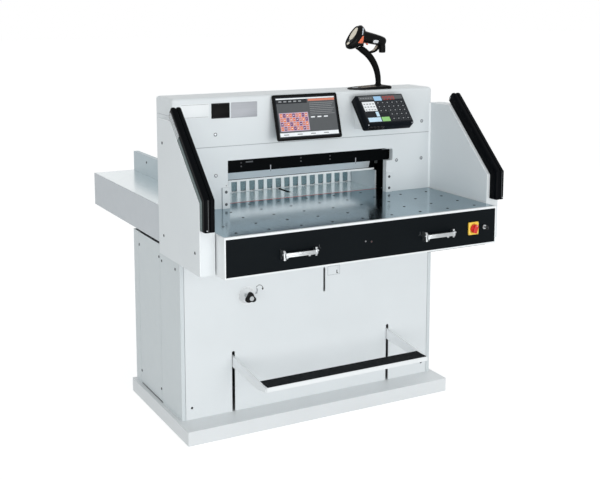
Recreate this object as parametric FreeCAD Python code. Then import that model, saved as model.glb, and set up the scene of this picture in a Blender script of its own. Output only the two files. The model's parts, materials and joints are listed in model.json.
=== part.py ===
import FreeCAD, Part
import math
import os

os.makedirs("parts", exist_ok=True)

# A floor-standing stack paper cutter with a cutting length of 720 mm, in millimetres.
# X runs to the operator's right, Y from the operator to the back and Z up.
# The origin is the centre of the base's underside.

# Overall sizes
base_overhang = 17.0
base_depth = 652.0
base_height = 57.0
base_rim = 12.0
base_plate = 8.0
base_spine = 60.0
base_corner = 5.0
sheet = 3.0
cabinet_width = 1172.0
cabinet_front = -218.0
cabinet_inset = 14.0
cabinet_gap = 9.0
table_overhang = 2.0
table_front = -651.0
table_top = 882.0
table_box_height = 149.0
table_plate = 10.0
head_overhang = 6.0
head_front = -190.0
head_back = -22.0
head_room = 71.0
rear_table_back = 867.0
cutting_length = 720.0
cut_line = -106.0

# Clearances shared by the fits
face_gap = 0.5
running_gap = 0.05
hole_gap = 1.0
piston_gap = 0.05

# How far a cutting tool runs past the face that it opens
overcut = 1.0
sides = (-1.0, 1.0)

# How near two coordinates are to count as one, and the least length of an edge that is rounded
near = 0.01
short_edge = 1.0

# Cabinet
column_width = 16.0
panel_return = 12.0
panel_joint = 1.5
hatch_front = -4.0
hatch_back = 253.0
hatch_bottom_gap = 5.0
hatch_joint = 1.5
hatch_seat = 0.2
backing_width = 15.0
backing_thickness = 2.0
return_width = 22.0
arm_slot_x = 363.6
arm_slot_width = 13.0
arm_slot_top = 307.0
sight_slot_x = 51.0
sight_slot_width = 8.0
sight_slot_bottom = 496.0
sight_slot_top = 597.0
lock_hole_inset = 43.0
lock_hole_z = 104.0
lock_hole_radius = 5.0
vent_columns = 2
vent_rows = 12
vent_length = 150.0
vent_height = 6.0
vent_pitch = 18.0
vent_spacing = 420.0
vent_first_z = 300.0

# Machine frame inside the covers
cheek_gap = 20.0
cheek_thickness = 30.0
cheek_front = -100.0
cheek_back = -28.0
cheek_headroom = 31.0
bed_front = -122.0
bed_back = -30.0
bed_depth = 92.0
bore_relief = 2.0
gantry_front = -58.0
gantry_height = 103.0
crossbeam_front = -116.0
crossbeam_drop = 20.0

# Table box, fascia and table plates
frame_border = 5.0
frame_bottom_border = 6.0
frame_top_border = 8.0
frame_thickness = 8.0
rim_depth = 11.0
box_joint = 2.0
table_box_back = -165.0
table_rib_x = 200.0
table_rib_thickness = 8.0
fascia_thickness = 4.0
fascia_inset = 1.0
stick_width = 10.0
stick_overrun = 10.0
nozzle_pitch_x = 130.0
nozzle_pitch_y = 110.0
nozzle_first_y = -157.0
nozzle_rows = 5
nozzle_side_columns = 4
nozzle_radius = 4.5
nozzle_height = 1.2
window_margin = 7.0
drive_slot_width = 18.0
drive_slot_front = -8.0
drive_slot_back = 742.0
rear_floor_front = -18.0
side_guide_thickness = 6.0
side_guide_height = 80.0
rear_guide_front = -20.0
rear_guide_back = 865.0
rear_guide_thickness = 23.0
rear_guide_height = 91.0

# Head covers
head_corner = 8.0
head_top_radius = 12.0
head_seam_height = 246.0
window_height = 188.0
window_flange = 22.0
tunnel_side_gap = 6.0
tunnel_headroom = 10.0
recess_width = 31.0
recess_height = 135.0
recess_opening = 49.0
recess_radius = 8.0
recess_overlap = 20.0
cover_return = 40.0
block_lap = 4.0
block_width = 30.0
block_proud = 7.0
block_inside = 19.0
block_seat = 0.2
block_height = 84.0

# Side wings and light curtains
wing_thickness = 57.0
wing_sheet = 2.0
wing_back = -181.0
wing_front = -581.5
wing_clearance = 2.0
wing_drop = 68.0
wing_corner_height = 114.0
wing_top_front = -315.0
curtain_inset = 14.0
curtain_width = 40.0
curtain_depth = 42.0
curtain_height = 20.0
curtain_overrun = 35.0
curtain_edge = 8.0
curtain_groove = 3.0
mitre_overlap = 60.0

# Knife, swung down and to the right as it cuts
swing_angle = 17.35
knife_stroke = 100.3
beam_margin = 35.0
beam_rise = 37.0
beam_cap = 24.26
beam_front = -158.0
beam_back = -118.0
lug_margin = 15.0
lug_height = 60.0
blade_left_margin = 32.0
blade_right_inset = 30.0
blade_stop = 0.26
blade_height = 115.0
blade_bevel = 30.0
blade_land = 1.0
pin_radius = 10.0
pin_rise = 115.0
pin_x = 275.0
pin_head = 16.0
pin_head_thickness = 4.0
knife_rod_radius = 12.0
knife_rod_offset = 10.0
knife_rod_rise = 30.0
knife_rod_length = 385.0
rod_passage = 300.0
knife_barrel_start = 340.0
knife_barrel_length = 280.0
knife_barrel_radius = 32.0
knife_chamber_radius = 24.0
bracket_gap = 2.0
bracket_foot = 12.0
bracket_reach = 40.0
bracket_place = 93.0
gland_length = 20.0
piston_length = 20.0
barrel_bracket_drop = 262.0
barrel_bracket_height = 40.0

# Clamp, pulled straight down onto the stack
clamp_stroke = 80.0
clamp_front = -104.0
clamp_back = -62.0
clamp_rod_gap = 30.0
clamp_side_gap = 5.0
clamp_shoulder_rise = 72.0
clamp_beam_height = 115.0
clamp_plate_thickness = 8.0
clamp_opening = 85.0
clamp_plate_back = -18.0
clamp_rod_inset = 15.0
clamp_rod_y = -82.0
clamp_rod_radius = 12.0
yoke_drop = 322.0
yoke_height = 40.0
yoke_depth = 36.0
yoke_socket = 10.0
clamp_piston_drop = 10.0
clamp_piston_rod_radius = 14.0
clamp_barrel_radius = 42.0
clamp_chamber_radius = 32.0
clamp_barrel_length = 280.0
clamp_barrel_gap = 10.0
barrel_foot_radius = 30.0

# Units on the cabinet's floor
tank_left = -430.0
tank_right = -90.0
tank_back_gap = 19.0
tank_depth = 260.0
tank_top = 300.0
tank_cap_radius = 18.0
tank_cap_inset = 30.0
pump_foot_half = 50.0
pump_foot_left = -360.0
pump_foot_right = -190.0
pump_foot_height = 22.0
pump_motor_radius = 70.0
pump_motor_left = -390.0
pump_motor_right = -180.0
pump_radius = 38.0
pump_right = -110.0
pump_valve_half = 30.0
pump_axis_rise = 85.0
control_left = 140.0
control_right = 430.0
control_back_gap = 9.0
control_depth = 210.0
control_top = 560.0
blower_left = 110.0
blower_right = 290.0
blower_y = -115.0
blower_z = 160.0
blower_wheel_radius = 80.0
blower_wheel_width = 70.0
blower_motor_radius = 48.0
blower_foot_half = 45.0
blower_foot_top = 115.0
duct_radius = 24.0
duct_y = -150.0
duct_start = 220.0

# Backgauge and its lead screw
fence_front = 99.0
fence_side_gap = 3.0
fence_depth = 50.0
fence_height = 78.0
fence_plate = 10.0
fence_cap = 8.0
fin_pitch = 42.0
fin_width = 14.0
gauge_web_width = 14.0
gauge_web_front = 112.0
gauge_web_length = 38.0
gauge_nut_half = 30.0
gauge_nut_height = 80.0
gauge_nut_drop = 6.0
screw_drop = 76.0
screw_radius = 10.0
journal_radius = 8.0
journal_length = 28.0
gauge_motor_front = 745.0
gauge_motor_length = 100.0
gauge_motor_half = 35.0
motor_foot_start = 20.0
motor_foot_length = 40.0

# Foot pedal
pedal_pivot_y = -62.0
pedal_pivot_z = 281.0
pedal_pin_radius = 10.0
pedal_pin_gap = 2.0
pedal_arm_thickness = 8.0
pedal_front = -519.0
pedal_back = -445.0
pedal_top = 257.0
pedal_plate = 18.0
pedal_mat = 3.0
pedal_mat_inset = 1.5
arm_slot_height = 44.0
arm_end_height = 29.0
arm_drop = 17.0
arm_tail = 30.0
arm_hub_half = 24.0
arm_tail_half = 14.0
arm_nose = 4.0
arm_nose_drop = 3.0

# Operator controls
trigger_x = 303.0
trigger_drop = 83.0
trigger_length = 140.0
trigger_bracket_width = 9.0
trigger_bracket_height = 34.0
trigger_bracket_depth = 29.0
trigger_bar_height = 16.0
trigger_bar_depth = 12.0
trigger_bar_corner = 3.0
trigger_pin_radius = 3.0
trigger_pin_length = 7.0
trigger_pin_rise = 4.0
switch_inset = 113.0
switch_drop = 78.0
switch_plate_size = 53.0
switch_plate_depth = 6.0
switch_knob_radius = 17.0
switch_knob_depth = 16.0
switch_shaft_radius = 4.0
switch_grip_half = 4.0
switch_grip_inset = 1.0
lock_inset = 58.0
lock_radius = 9.0
key_radius = 9.0
key_thickness = 2.5
key_stem_radius = 3.0
key_shoulder = 4.0
key_overlap = 3.0
dial_x = -304.0
dial_z = 527.0
dial_radius = 35.5
dial_rim = 2.0
dial_depth = 16.0
dial_dish = 9.0
dial_rim_depth = 1.5
dial_seat = 0.2
dial_lip = 3.0
dial_floor_radius = 14.0
dial_boss_radius = 10.0
dial_bore_depth = 14.0
knob_shaft_depth = 13.0
knob_cap_height = 1.0
knob_radius = 24.0
knob_lobe = 9.0
knob_lobes = 3
knob_front = -268.0
knob_back = -246.0
knob_shaft_radius = 6.0
knob_cap_radius = 9.0

# Touch screen leaning on the head
tablet_left = -179.0
tablet_width = 293.0
tablet_height = 185.0
tablet_thickness = 9.0
tablet_tilt = 16.6
tablet_foot_y = -252.0
tablet_foot_drop = 180.0
tablet_border = 11.0
screen_depth = 1.0
screen_corner = 5.0
tablet_mount_inset = 60.0
tablet_mount_rise = 6.0
tablet_mount_height = 142.0

# Control panel on its wedge
panel_left = 187.0
panel_width = 230.0
panel_height = 150.0
panel_thickness = 45.0
panel_tilt = 40.6
panel_foot_y = -325.0
panel_foot_drop = 128.3
panel_border = 8.0
wedge_inset = 18.0
wedge_drop = 28.0
wedge_height = 106.0
plug_start = 15.0
plug_length = 70.0
plug_front = 12.0
plug_back = 30.0
plug_drop = 7.0

# Hand scanner on its bent stand
stand_left = 212.0
stand_right = 398.0
stand_front = -186.0
stand_depth = 98.0
stand_thickness = 9.0
stand_corner = 14.0
neck_x = 360.0
neck_y = -130.0
neck_radius = 10.5
neck_straight = 15.0
neck_bend = 165.0
neck_angle = 57.0
cup_radius = 17.0
cup_x = 280.0
cup_rise = 179.0
cup_height = 30.0
hook_radius = 6.0
hook_rise = 14.0
hook_run = 46.0
hook_dip = 9.5
hook_end = 68.0
hook_gap = 7.0
scanner_pitch = 33.6
hood_face_x = 229.0
hood_face_rise = 222.0
hood_lip = 8.0
hood_flat = 12.0
hood_taper = 17.0
hood_neck = 13.0
hood_lift = 4.0
hood_back_lift = 11.0
hood_face_half = 50.0
hood_half = 57.0
hood_shoulder_half = 48.0
hood_neck_half = 34.0
hood_slimness = 0.69
scanner_window_depth = 1.5
scanner_window_half = 41.0
scanner_window_width = 22.0
scanner_seat_gap = 0.4
scanner_seat_inset = 4.0
scanner_seat_height = 30.0
barrel_tilt = 17.0
barrel_start_x = 274.0
barrel_start_rise = 222.0
barrel_start_half = 25.0
barrel_end_x = 372.0
barrel_end_rise = 198.0
barrel_end_half = 20.0
barrel_nose_x = 392.0
barrel_nose_rise = 192.0
barrel_nose_half = 11.0
grip_x = 378.0
grip_rise = 148.0
grip_length = 53.0
grip_radius = 13.5
scanner_trigger_x = 286.0
scanner_trigger_rise = 182.0
scanner_trigger_length = 20.0
scanner_trigger_width = 12.0
scanner_trigger_height = 14.0
scanner_trigger_travel = 4.5

# Small fasteners
screw_head_radius = 4.5
screw_head_height = 2.0
wing_screw_inset = 50.0
wing_screw_front_inset = 43.5
wing_screw_rise = 77.0
wing_screw_drop = 89.0
cabinet_screw_inset = 10.0
cabinet_screw_drop = 65.0
cabinet_screw_front_inset = 46.0
hatch_screw_rise = 57.0
hatch_screw_drop = 55.0
guide_screw_inset = 179.0
guide_screw_rise = 60.0
head_screw_gap = 1.0
head_screw_inset = 49.0
head_screw_drop = 113.0
head_screw_rise = 48.0
block_screw_low = 17.0
block_screw_high = 66.0


def point(x, y, z):
    return FreeCAD.Vector(x, y, z)


def block(x0, x1, y0, y1, z0, z1):
    return Part.makeBox(x1 - x0, y1 - y0, z1 - z0, point(x0, y0, z0))


def rod(radius, start, end):
    direction = end - start
    return Part.makeCylinder(radius, direction.Length, start, direction)


def prism(points, sweep):
    wire = Part.makePolygon(points + [points[0]])
    return Part.Face(wire).extrude(sweep)


def side_prism(outline, x0, x1):
    return prism([point(x0, y, z) for y, z in outline], point(x1 - x0, 0, 0))


def mirrored(shape):
    return shape.mirror(point(0, 0, 0), point(1, 0, 0))


def fused(shapes):
    result = shapes[0].fuse(shapes[1:])
    return result.removeSplitter()


def save(node, shapes):
    for shape in shapes:
        if not shape.isValid():
            print("not valid:", node)
    result = shapes[0] if len(shapes) == 1 else Part.makeCompound(shapes)
    result.exportStep("parts/" + node + ".step")


def round_edges(shape, radius, wanted):
    chosen = [edge for edge in shape.Edges if wanted(edge)]
    return shape.makeFillet(radius, chosen)


def is_upright(edge):
    box = edge.BoundBox
    return box.ZLength > short_edge and box.XLength < near and box.YLength < near


def upright_slot(x, width, z0, z1, y0, y1, round_bottom):
    radius = width / 2.0
    low = z0 + radius if round_bottom else z0
    pieces = [block(x - radius, x + radius, y0, y1, low, z1 - radius)]
    pieces.append(rod(radius, point(x, y0, z1 - radius), point(x, y1, z1 - radius)))
    if round_bottom:
        pieces.append(rod(radius, point(x, y0, low), point(x, y1, low)))
    return fused(pieces)


# Places worked out from the sizes above
cabinet_half = cabinet_width / 2.0
cabinet_back = base_depth / 2.0 - cabinet_inset
base_half = cabinet_half + base_overhang
table_half = cabinet_half + table_overhang
table_box_bottom = table_top - table_box_height
cabinet_top = table_box_bottom - cabinet_gap
plate_bottom = table_top - table_plate
plate_half = table_half - sheet
head_half = table_half + head_overhang
head_seam = table_top + head_seam_height
window_half = cutting_length / 2.0 + window_margin
window_top = table_top + window_height
recess_right = window_half + recess_width
recess_bottom = table_top + recess_height
recess_top = recess_bottom + recess_opening
block_inner = window_half - block_lap
block_outer = block_inner + block_width
block_top = table_top + block_height
side_guide_outer = window_half + side_guide_thickness
rear_half = cabinet_half
rear_guide_outer = window_half + rear_guide_thickness
stick_front = cut_line - stick_width / 2.0
stick_back = cut_line + stick_width / 2.0
stick_half = cutting_length / 2.0 + stick_overrun
swing = math.radians(swing_angle)
knife_direction = point(math.sin(swing), 0, -math.cos(swing))
knife_drop = knife_stroke * math.cos(swing)
blade_edge_z = table_top + knife_drop + blade_stop
beam_bottom = blade_edge_z + beam_rise
pin_z = beam_bottom + pin_rise
beam_top = pin_z + knife_drop + beam_cap
beam_half = cutting_length / 2.0 + beam_margin
blade_left = -cutting_length / 2.0 - blade_left_margin
blade_right = cutting_length / 2.0 - blade_right_inset
head_top = beam_top + head_room
cheek_top = head_top - cheek_headroom
gantry_bottom = table_top + gantry_height
crossbeam_bottom = pin_z - crossbeam_drop
clamp_rod_x = side_guide_outer + clamp_rod_gap + clamp_rod_radius
clamp_half = clamp_rod_x + clamp_rod_inset
cheek_inner = clamp_half + cheek_gap
cheek_outer = cheek_inner + cheek_thickness
bed_bottom = plate_bottom - bed_depth
clamp_narrow_half = window_half - clamp_side_gap
clamp_bottom = table_top + clamp_opening + clamp_plate_thickness
clamp_shoulder = clamp_bottom + clamp_shoulder_rise
clamp_top = clamp_bottom + clamp_beam_height
yoke_bottom = table_top - yoke_drop
clamp_barrel_top = yoke_bottom - clamp_stroke - clamp_barrel_gap
clamp_barrel_bottom = clamp_barrel_top - clamp_barrel_length
knife_rod_y = (beam_front + beam_back) / 2.0
knife_rod_x = -clamp_half - knife_rod_offset
knife_rod_start = point(knife_rod_x, knife_rod_y, beam_bottom + knife_rod_rise)
barrel_bracket_bottom = table_top - barrel_bracket_drop
screw_z = table_top - screw_drop
tank_back = cabinet_back - sheet - tank_back_gap
tank_front = tank_back - tank_depth
pump_axis_y = (tank_front + tank_back) / 2.0
control_back = cabinet_back - sheet - control_back_gap
control_front = control_back - control_depth
fence_half = window_half - fence_side_gap
fin_count = int((2.0 * fence_half - fin_width) / fin_pitch) + 1
fascia_front = table_front + fascia_inset
switch_x = table_half - switch_inset
lock_x = table_half - lock_inset
switch_z = table_top - switch_drop
trigger_z = table_top - trigger_drop
wing_bottom = table_box_bottom + wing_clearance
wing_corner_z = table_top + wing_corner_height
wing_top = head_top - wing_drop
curtain_bottom = table_top + curtain_height
tablet_foot_z = head_top - tablet_foot_drop
panel_foot_z = head_top - panel_foot_drop
pedal_half = arm_slot_x - pedal_arm_thickness / 2.0
cup_top = head_top + cup_rise
cup_bottom = cup_top - cup_height


def along_knife(distance):
    return knife_rod_start + knife_direction * distance


def base_plinth():
    half = base_half
    deep = base_depth / 2.0
    shell = block(-half, half, -deep, deep, 0, base_height)
    shell = round_edges(shell, base_corner, is_upright)
    pocket = block(base_spine / 2.0, half - base_rim, -deep + base_rim, deep - base_rim,
                   -overcut, base_height - base_plate)
    save("base_plinth", [shell.cut(pocket).cut(mirrored(pocket))])


def cabinet_side():
    inner = cabinet_half - sheet
    wall = block(-cabinet_half, -inner, cabinet_front, cabinet_back, base_height, cabinet_top)
    opening_bottom = base_height + hatch_bottom_gap
    opening = block(-cabinet_half - overcut, -inner + overcut, hatch_front, hatch_back,
                    opening_bottom, cabinet_top + overcut)
    column = block(-cabinet_half, -cabinet_half + column_width, cabinet_front,
                   cabinet_front + sheet, base_height, cabinet_top)
    rear_return = block(-inner, -inner + return_width, cabinet_back - 2.0 * sheet,
                        cabinet_back - sheet, base_height, cabinet_top)
    backing = block(-inner, -inner + backing_thickness, hatch_front - backing_width,
                    hatch_back + backing_width, base_height, cabinet_top)
    backing_hole = block(-inner - overcut, -inner + backing_thickness + overcut,
                         hatch_front + backing_width, hatch_back - backing_width,
                         opening_bottom + backing_width, cabinet_top + overcut)
    return fused([wall.cut(opening), column, rear_return, backing.cut(backing_hole)])


def side_hatch():
    inner = cabinet_half - sheet
    return block(-cabinet_half, -inner - hatch_seat, hatch_front + hatch_joint, hatch_back - hatch_joint,
                 base_height + hatch_bottom_gap + hatch_joint, cabinet_top - hatch_joint)


def cabinet_sides():
    side = cabinet_side()
    hatch = side_hatch()
    save("cabinet_side_left", [side])
    save("cabinet_side_right", [mirrored(side)])
    save("side_hatches", [hatch, mirrored(hatch)])


def front_panel():
    half = cabinet_half - column_width - panel_joint
    back = cabinet_front + sheet
    sheet_front = block(-half, half, cabinet_front, back, base_height, table_box_bottom)
    pieces = [sheet_front]
    for side in sides:
        edge = side * half
        inner = side * (half - sheet)
        pieces.append(block(min(edge, inner), max(edge, inner), back, back + panel_return,
                            base_height, cabinet_top))
    panel = fused(pieces)
    for side in sides:
        panel = panel.cut(upright_slot(side * arm_slot_x, arm_slot_width, base_height - overcut,
                                       arm_slot_top, cabinet_front - overcut, back + overcut, False))
        hole_start = point(side * (cabinet_half - lock_hole_inset), cabinet_front - overcut, lock_hole_z)
        hole_end = point(side * (cabinet_half - lock_hole_inset), back + overcut, lock_hole_z)
        panel = panel.cut(rod(lock_hole_radius, hole_start, hole_end))
    panel = panel.cut(upright_slot(sight_slot_x, sight_slot_width, sight_slot_bottom,
                                   sight_slot_top, cabinet_front - overcut, back + overcut, True))
    panel = panel.cut(rod(dial_radius, point(dial_x, cabinet_front - overcut, dial_z),
                          point(dial_x, back + overcut, dial_z)))
    save("front_panel", [panel])


def rear_panel():
    half = cabinet_half - sheet - face_gap
    panel = block(-half, half, cabinet_back - sheet, cabinet_back, base_height, cabinet_top)
    for column in range(vent_columns):
        centre = (column - (vent_columns - 1) / 2.0) * vent_spacing
        for row in range(vent_rows):
            low = vent_first_z + row * vent_pitch
            vent = block(centre - vent_length / 2.0, centre + vent_length / 2.0,
                         cabinet_back - sheet - overcut, cabinet_back + overcut, low, low + vent_height)
            panel = panel.cut(vent)
    save("rear_panel", [panel])


def frame_cheeks():
    cheek = block(cheek_inner, cheek_outer, cheek_front, cheek_back, base_height, cheek_top)
    bore = rod(pedal_pin_radius + running_gap,
               point(cheek_inner - overcut, pedal_pivot_y, pedal_pivot_z),
               point(cheek_outer + overcut, pedal_pivot_y, pedal_pivot_z))
    cheek = cheek.cut(bore)
    save("frame_cheeks", [mirrored(cheek), cheek])


def machine_bed():
    bed = block(-cheek_inner, cheek_inner, bed_front, bed_back, bed_bottom, plate_bottom)
    for side in sides:
        start = point(side * clamp_rod_x, clamp_rod_y, bed_bottom - overcut)
        end = point(side * clamp_rod_x, clamp_rod_y, plate_bottom + overcut)
        bed = bed.cut(rod(clamp_rod_radius + running_gap, start, end))
    bore_end = bed_back - journal_length - bore_relief
    bed = bed.cut(rod(journal_radius + running_gap, point(0, bore_end, screw_z),
                      point(0, bed_back + overcut, screw_z)))
    save("machine_bed", [bed])


def gantry():
    top = head_top - sheet
    shoulder = top - head_top_radius
    step = cheek_back - head_top_radius / 2.0
    outline = [(gantry_front, gantry_bottom), (cheek_back, gantry_bottom), (cheek_back, shoulder),
               (step, shoulder), (step, top), (gantry_front, top)]
    plate = side_prism(outline, -cheek_inner, cheek_inner)
    crossbeam = block(-cheek_inner, cheek_inner, crossbeam_front, gantry_front,
                      crossbeam_bottom, cheek_top)
    pieces = [plate, crossbeam]
    for side in sides:
        root = point(side * pin_x, crossbeam_front, pin_z)
        neck = point(side * pin_x, beam_front - face_gap, pin_z)
        end = point(side * pin_x, beam_front - face_gap - pin_head_thickness, pin_z)
        pieces.append(rod(pin_radius, root, neck))
        pieces.append(rod(pin_head, neck, end))
    save("gantry", [fused(pieces)])


def table_box():
    front = table_front
    back = table_box_back
    inner = table_half - sheet
    low = table_box_bottom
    bottom = block(-table_half, table_half, front, back, low, low + sheet)
    ends = block(inner, table_half, front, back, low, table_top)
    rear_wall = block(-inner, inner, back - sheet, back, low, plate_bottom)
    frame_back = front + frame_thickness
    frame = block(-table_half, table_half, front, frame_back, low, table_top)
    frame = frame.cut(fascia_opening(front - overcut, frame_back + overcut))
    rim = block(-inner, inner, front, front + rim_depth, table_top - frame_top_border, table_top)
    ribs = block(table_rib_x, table_rib_x + table_rib_thickness, frame_back, back, low, plate_bottom)
    save("table_box", [fused([bottom, ends, mirrored(ends), rear_wall, frame, rim, ribs,
                              mirrored(ribs)])])


def fascia_opening(y0, y1):
    half = table_half - frame_border
    return block(-half, half, y0, y1, table_box_bottom + frame_bottom_border,
                 table_top - frame_top_border)


def front_fascia():
    save("front_fascia", [fascia_opening(fascia_front, fascia_front + fascia_thickness)])


def nozzle_places():
    places = []
    for row in range(nozzle_rows):
        y = nozzle_first_y - row * nozzle_pitch_y
        for column in range(-nozzle_side_columns, nozzle_side_columns + 1):
            x = column * nozzle_pitch_x
            if row > 0 or abs(x) < window_half:
                places.append((x, y))
    return places


def front_table():
    front = table_front + rim_depth
    plate = block(-plate_half, plate_half, front, stick_front, plate_bottom, table_top)
    pieces = [plate]
    for side in sides:
        inner = side * stick_half
        outer = side * plate_half
        pieces.append(block(min(inner, outer), max(inner, outer), stick_front, stick_back,
                            plate_bottom, table_top))
    table = fused(pieces)
    table = table.cut(rod(knife_rod_radius + hole_gap, along_knife(0.0), along_knife(rod_passage)))
    for x, y in nozzle_places():
        table = table.cut(rod(nozzle_radius, point(x, y, plate_bottom - overcut),
                              point(x, y, table_top + overcut)))
    save("front_table", [table])


def air_nozzles():
    nozzles = []
    for x, y in nozzle_places():
        stem = rod(nozzle_radius, point(x, y, plate_bottom), point(x, y, table_top))
        ball = Part.makeSphere(nozzle_radius, point(x, y, table_top - nozzle_radius + nozzle_height))
        nozzles.append(stem.fuse(ball).removeSplitter())
    save("air_nozzles", nozzles)


def cutting_stick():
    half = stick_half
    save("cutting_stick", [block(-half, half, stick_front, stick_back, plate_bottom, table_top)])


def rear_table():
    half = rear_half - sheet
    plate = block(-half, half, stick_back, rear_table_back - sheet, plate_bottom, table_top)
    notch = block(cheek_inner - face_gap, cheek_outer + face_gap, stick_back - overcut,
                  cheek_back + face_gap, plate_bottom - overcut, table_top + overcut)
    plate = plate.cut(notch).cut(mirrored(notch))
    slot_half = drive_slot_width / 2.0
    plate = plate.cut(block(-slot_half, slot_half, drive_slot_front, drive_slot_back,
                            plate_bottom - overcut, table_top + overcut))
    for side in sides:
        start = point(side * clamp_rod_x, clamp_rod_y, plate_bottom - overcut)
        end = point(side * clamp_rod_x, clamp_rod_y, table_top + overcut)
        plate = plate.cut(rod(clamp_rod_radius + hole_gap, start, end))
    save("rear_table", [plate])


def rear_table_box():
    front = table_box_back + box_joint
    inner = rear_half - sheet
    back = rear_table_back
    low = table_box_bottom
    low_wall = block(inner, rear_half, front, back, low, plate_bottom)
    high_wall = block(inner, rear_half, stick_back + face_gap, back, plate_bottom, table_top)
    wall = fused([low_wall, high_wall])
    end = block(-rear_half, rear_half, back - sheet, back, low, table_top)
    bottom = block(-rear_half, rear_half, rear_floor_front, back, low, low + sheet)
    save("rear_table_box", [fused([wall, mirrored(wall), end, bottom])])


def side_guides():
    thin = block(window_half, side_guide_outer, cheek_front, rear_guide_front,
                 table_top, table_top + side_guide_height)
    thick = block(window_half, rear_guide_outer, rear_guide_front, rear_guide_back,
                  table_top, table_top + rear_guide_height)
    guide = fused([thin, thick])
    save("side_guides", [mirrored(guide), guide])


def rounded_case(half, y0, y1, z0, z1, corner, top_radius):
    case = block(-half, half, y0, y1, z0, z1)

    def front_upright(edge):
        return is_upright(edge) and edge.BoundBox.YMin < y0 + near

    def upper(edge):
        return edge.BoundBox.ZMin > z1 - near

    case = round_edges(case, corner, front_upright)
    return round_edges(case, top_radius, upper)


def head_cover():
    outer = rounded_case(head_half, head_front, head_back, table_top, head_top,
                         head_corner, head_top_radius)
    inner = rounded_case(head_half - sheet, head_front + sheet, head_back - sheet,
                         table_top - overcut, head_top - sheet,
                         head_corner - sheet, head_top_radius - sheet)
    shell = outer.cut(inner)
    lower_front = block(-head_half - overcut, head_half + overcut, head_front - overcut,
                        head_front + cover_return, table_top - overcut, head_seam)
    tunnel_half = rear_guide_outer + tunnel_side_gap
    tunnel = block(-tunnel_half, tunnel_half, head_back - sheet - overcut, head_back + overcut,
                   table_top - overcut, clamp_bottom + tunnel_headroom)
    save("head_cover", [shell.cut(lower_front).cut(tunnel)])


def window_shape(grow, y0, y1):
    opening = block(-window_half - grow, window_half + grow, y0, y1, table_top - overcut,
                    window_top + grow)
    recess = block(window_half - recess_overlap, recess_right + grow, y0, y1, recess_bottom - grow,
                   recess_top + grow)

    def right_corner(edge):
        box = edge.BoundBox
        return box.XMin > recess_right + grow - near and box.YLength > short_edge

    recess = round_edges(recess, recess_radius + grow, right_corner)
    return opening.fuse(recess).removeSplitter()


def head_front_lower():
    seam = head_seam - face_gap
    back = head_front + cover_return - face_gap
    outer = block(-head_half, head_half, head_front, back, table_top, seam)
    inner = block(-head_half + sheet, head_half - sheet, head_front + sheet, back + overcut,
                  table_top - overcut, seam + overcut)

    def front_upright(edge):
        return is_upright(edge) and edge.BoundBox.YMax < head_front + sheet + near

    outer = round_edges(outer, head_corner, front_upright)
    inner = round_edges(inner, head_corner - sheet, front_upright)
    cover = outer.cut(inner)
    flange = window_shape(sheet, head_front, head_front + sheet + window_flange)
    flange = flange.cut(block(-head_half, head_half, head_front, head_back,
                              table_top - 5.0 * overcut, table_top))
    cover = cover.fuse(flange).cut(window_shape(0.0, head_front - overcut, head_back))
    save("head_front_lower", [cover.removeSplitter()])


def guide_blocks():
    front = head_front - block_proud
    face = block(block_inner, block_outer, front, head_front, table_top, block_top)
    cheek = block(block_inner, window_half - block_seat, head_front, head_front + block_inside,
                  table_top, block_top)
    guide = fused([face, cheek])
    save("guide_blocks", [mirrored(guide), guide])


def wing_outline(inset, bottom):
    run = wing_top_front - wing_front
    rise = wing_top - wing_corner_z
    length = math.hypot(run, rise)
    slope = rise / run
    line_y = wing_front + inset * rise / length
    line_z = wing_corner_z - inset * run / length
    front = wing_front + inset
    top = wing_top - inset
    back = wing_back - inset
    corner_z = line_z + (front - line_y) * slope
    top_front = line_y + (top - line_z) / slope
    return [(back, bottom), (front, bottom), (front, corner_z), (top_front, top), (back, top)]


def wings():
    inner = head_half
    outer = head_half + wing_thickness
    shell = side_prism(wing_outline(0.0, wing_bottom), inner, outer)
    hollow = side_prism(wing_outline(wing_sheet, wing_bottom - overcut), inner + wing_sheet,
                        outer - wing_sheet)
    wing = shell.cut(hollow)
    save("wing_left", [mirrored(wing)])
    save("wing_right", [wing])


def curtain_section(inner, outer):
    middle = (inner + outer) / 2.0
    shoulder = curtain_depth - curtain_edge
    bulge = curtain_edge * (1.0 - math.sqrt(0.5))
    floor = curtain_depth - curtain_groove
    corners = [(inner, 0.0), (inner, shoulder), (inner + bulge, curtain_depth - bulge),
               (inner + curtain_edge, curtain_depth), (middle - curtain_groove, curtain_depth),
               (middle, floor), (middle + curtain_groove, curtain_depth),
               (outer - curtain_edge, curtain_depth), (outer - bulge, curtain_depth - bulge),
               (outer, shoulder), (outer, 0.0)]
    return corners


def curtain_bar(foot_y, foot_z, run_y, run_z, length, overlap, outline):
    inner = head_half + curtain_inset
    outer = inner + curtain_width
    points = []
    for x, depth in curtain_section(inner, outer):
        points.append(point(x, foot_y - run_z * depth - run_y * overlap,
                            foot_z + run_y * depth - run_z * overlap))
    bar = prism(points, point(0, run_y, run_z) * (length + overlap))
    return bar.common(side_prism(outline, inner - overcut, outer + overcut))


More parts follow.
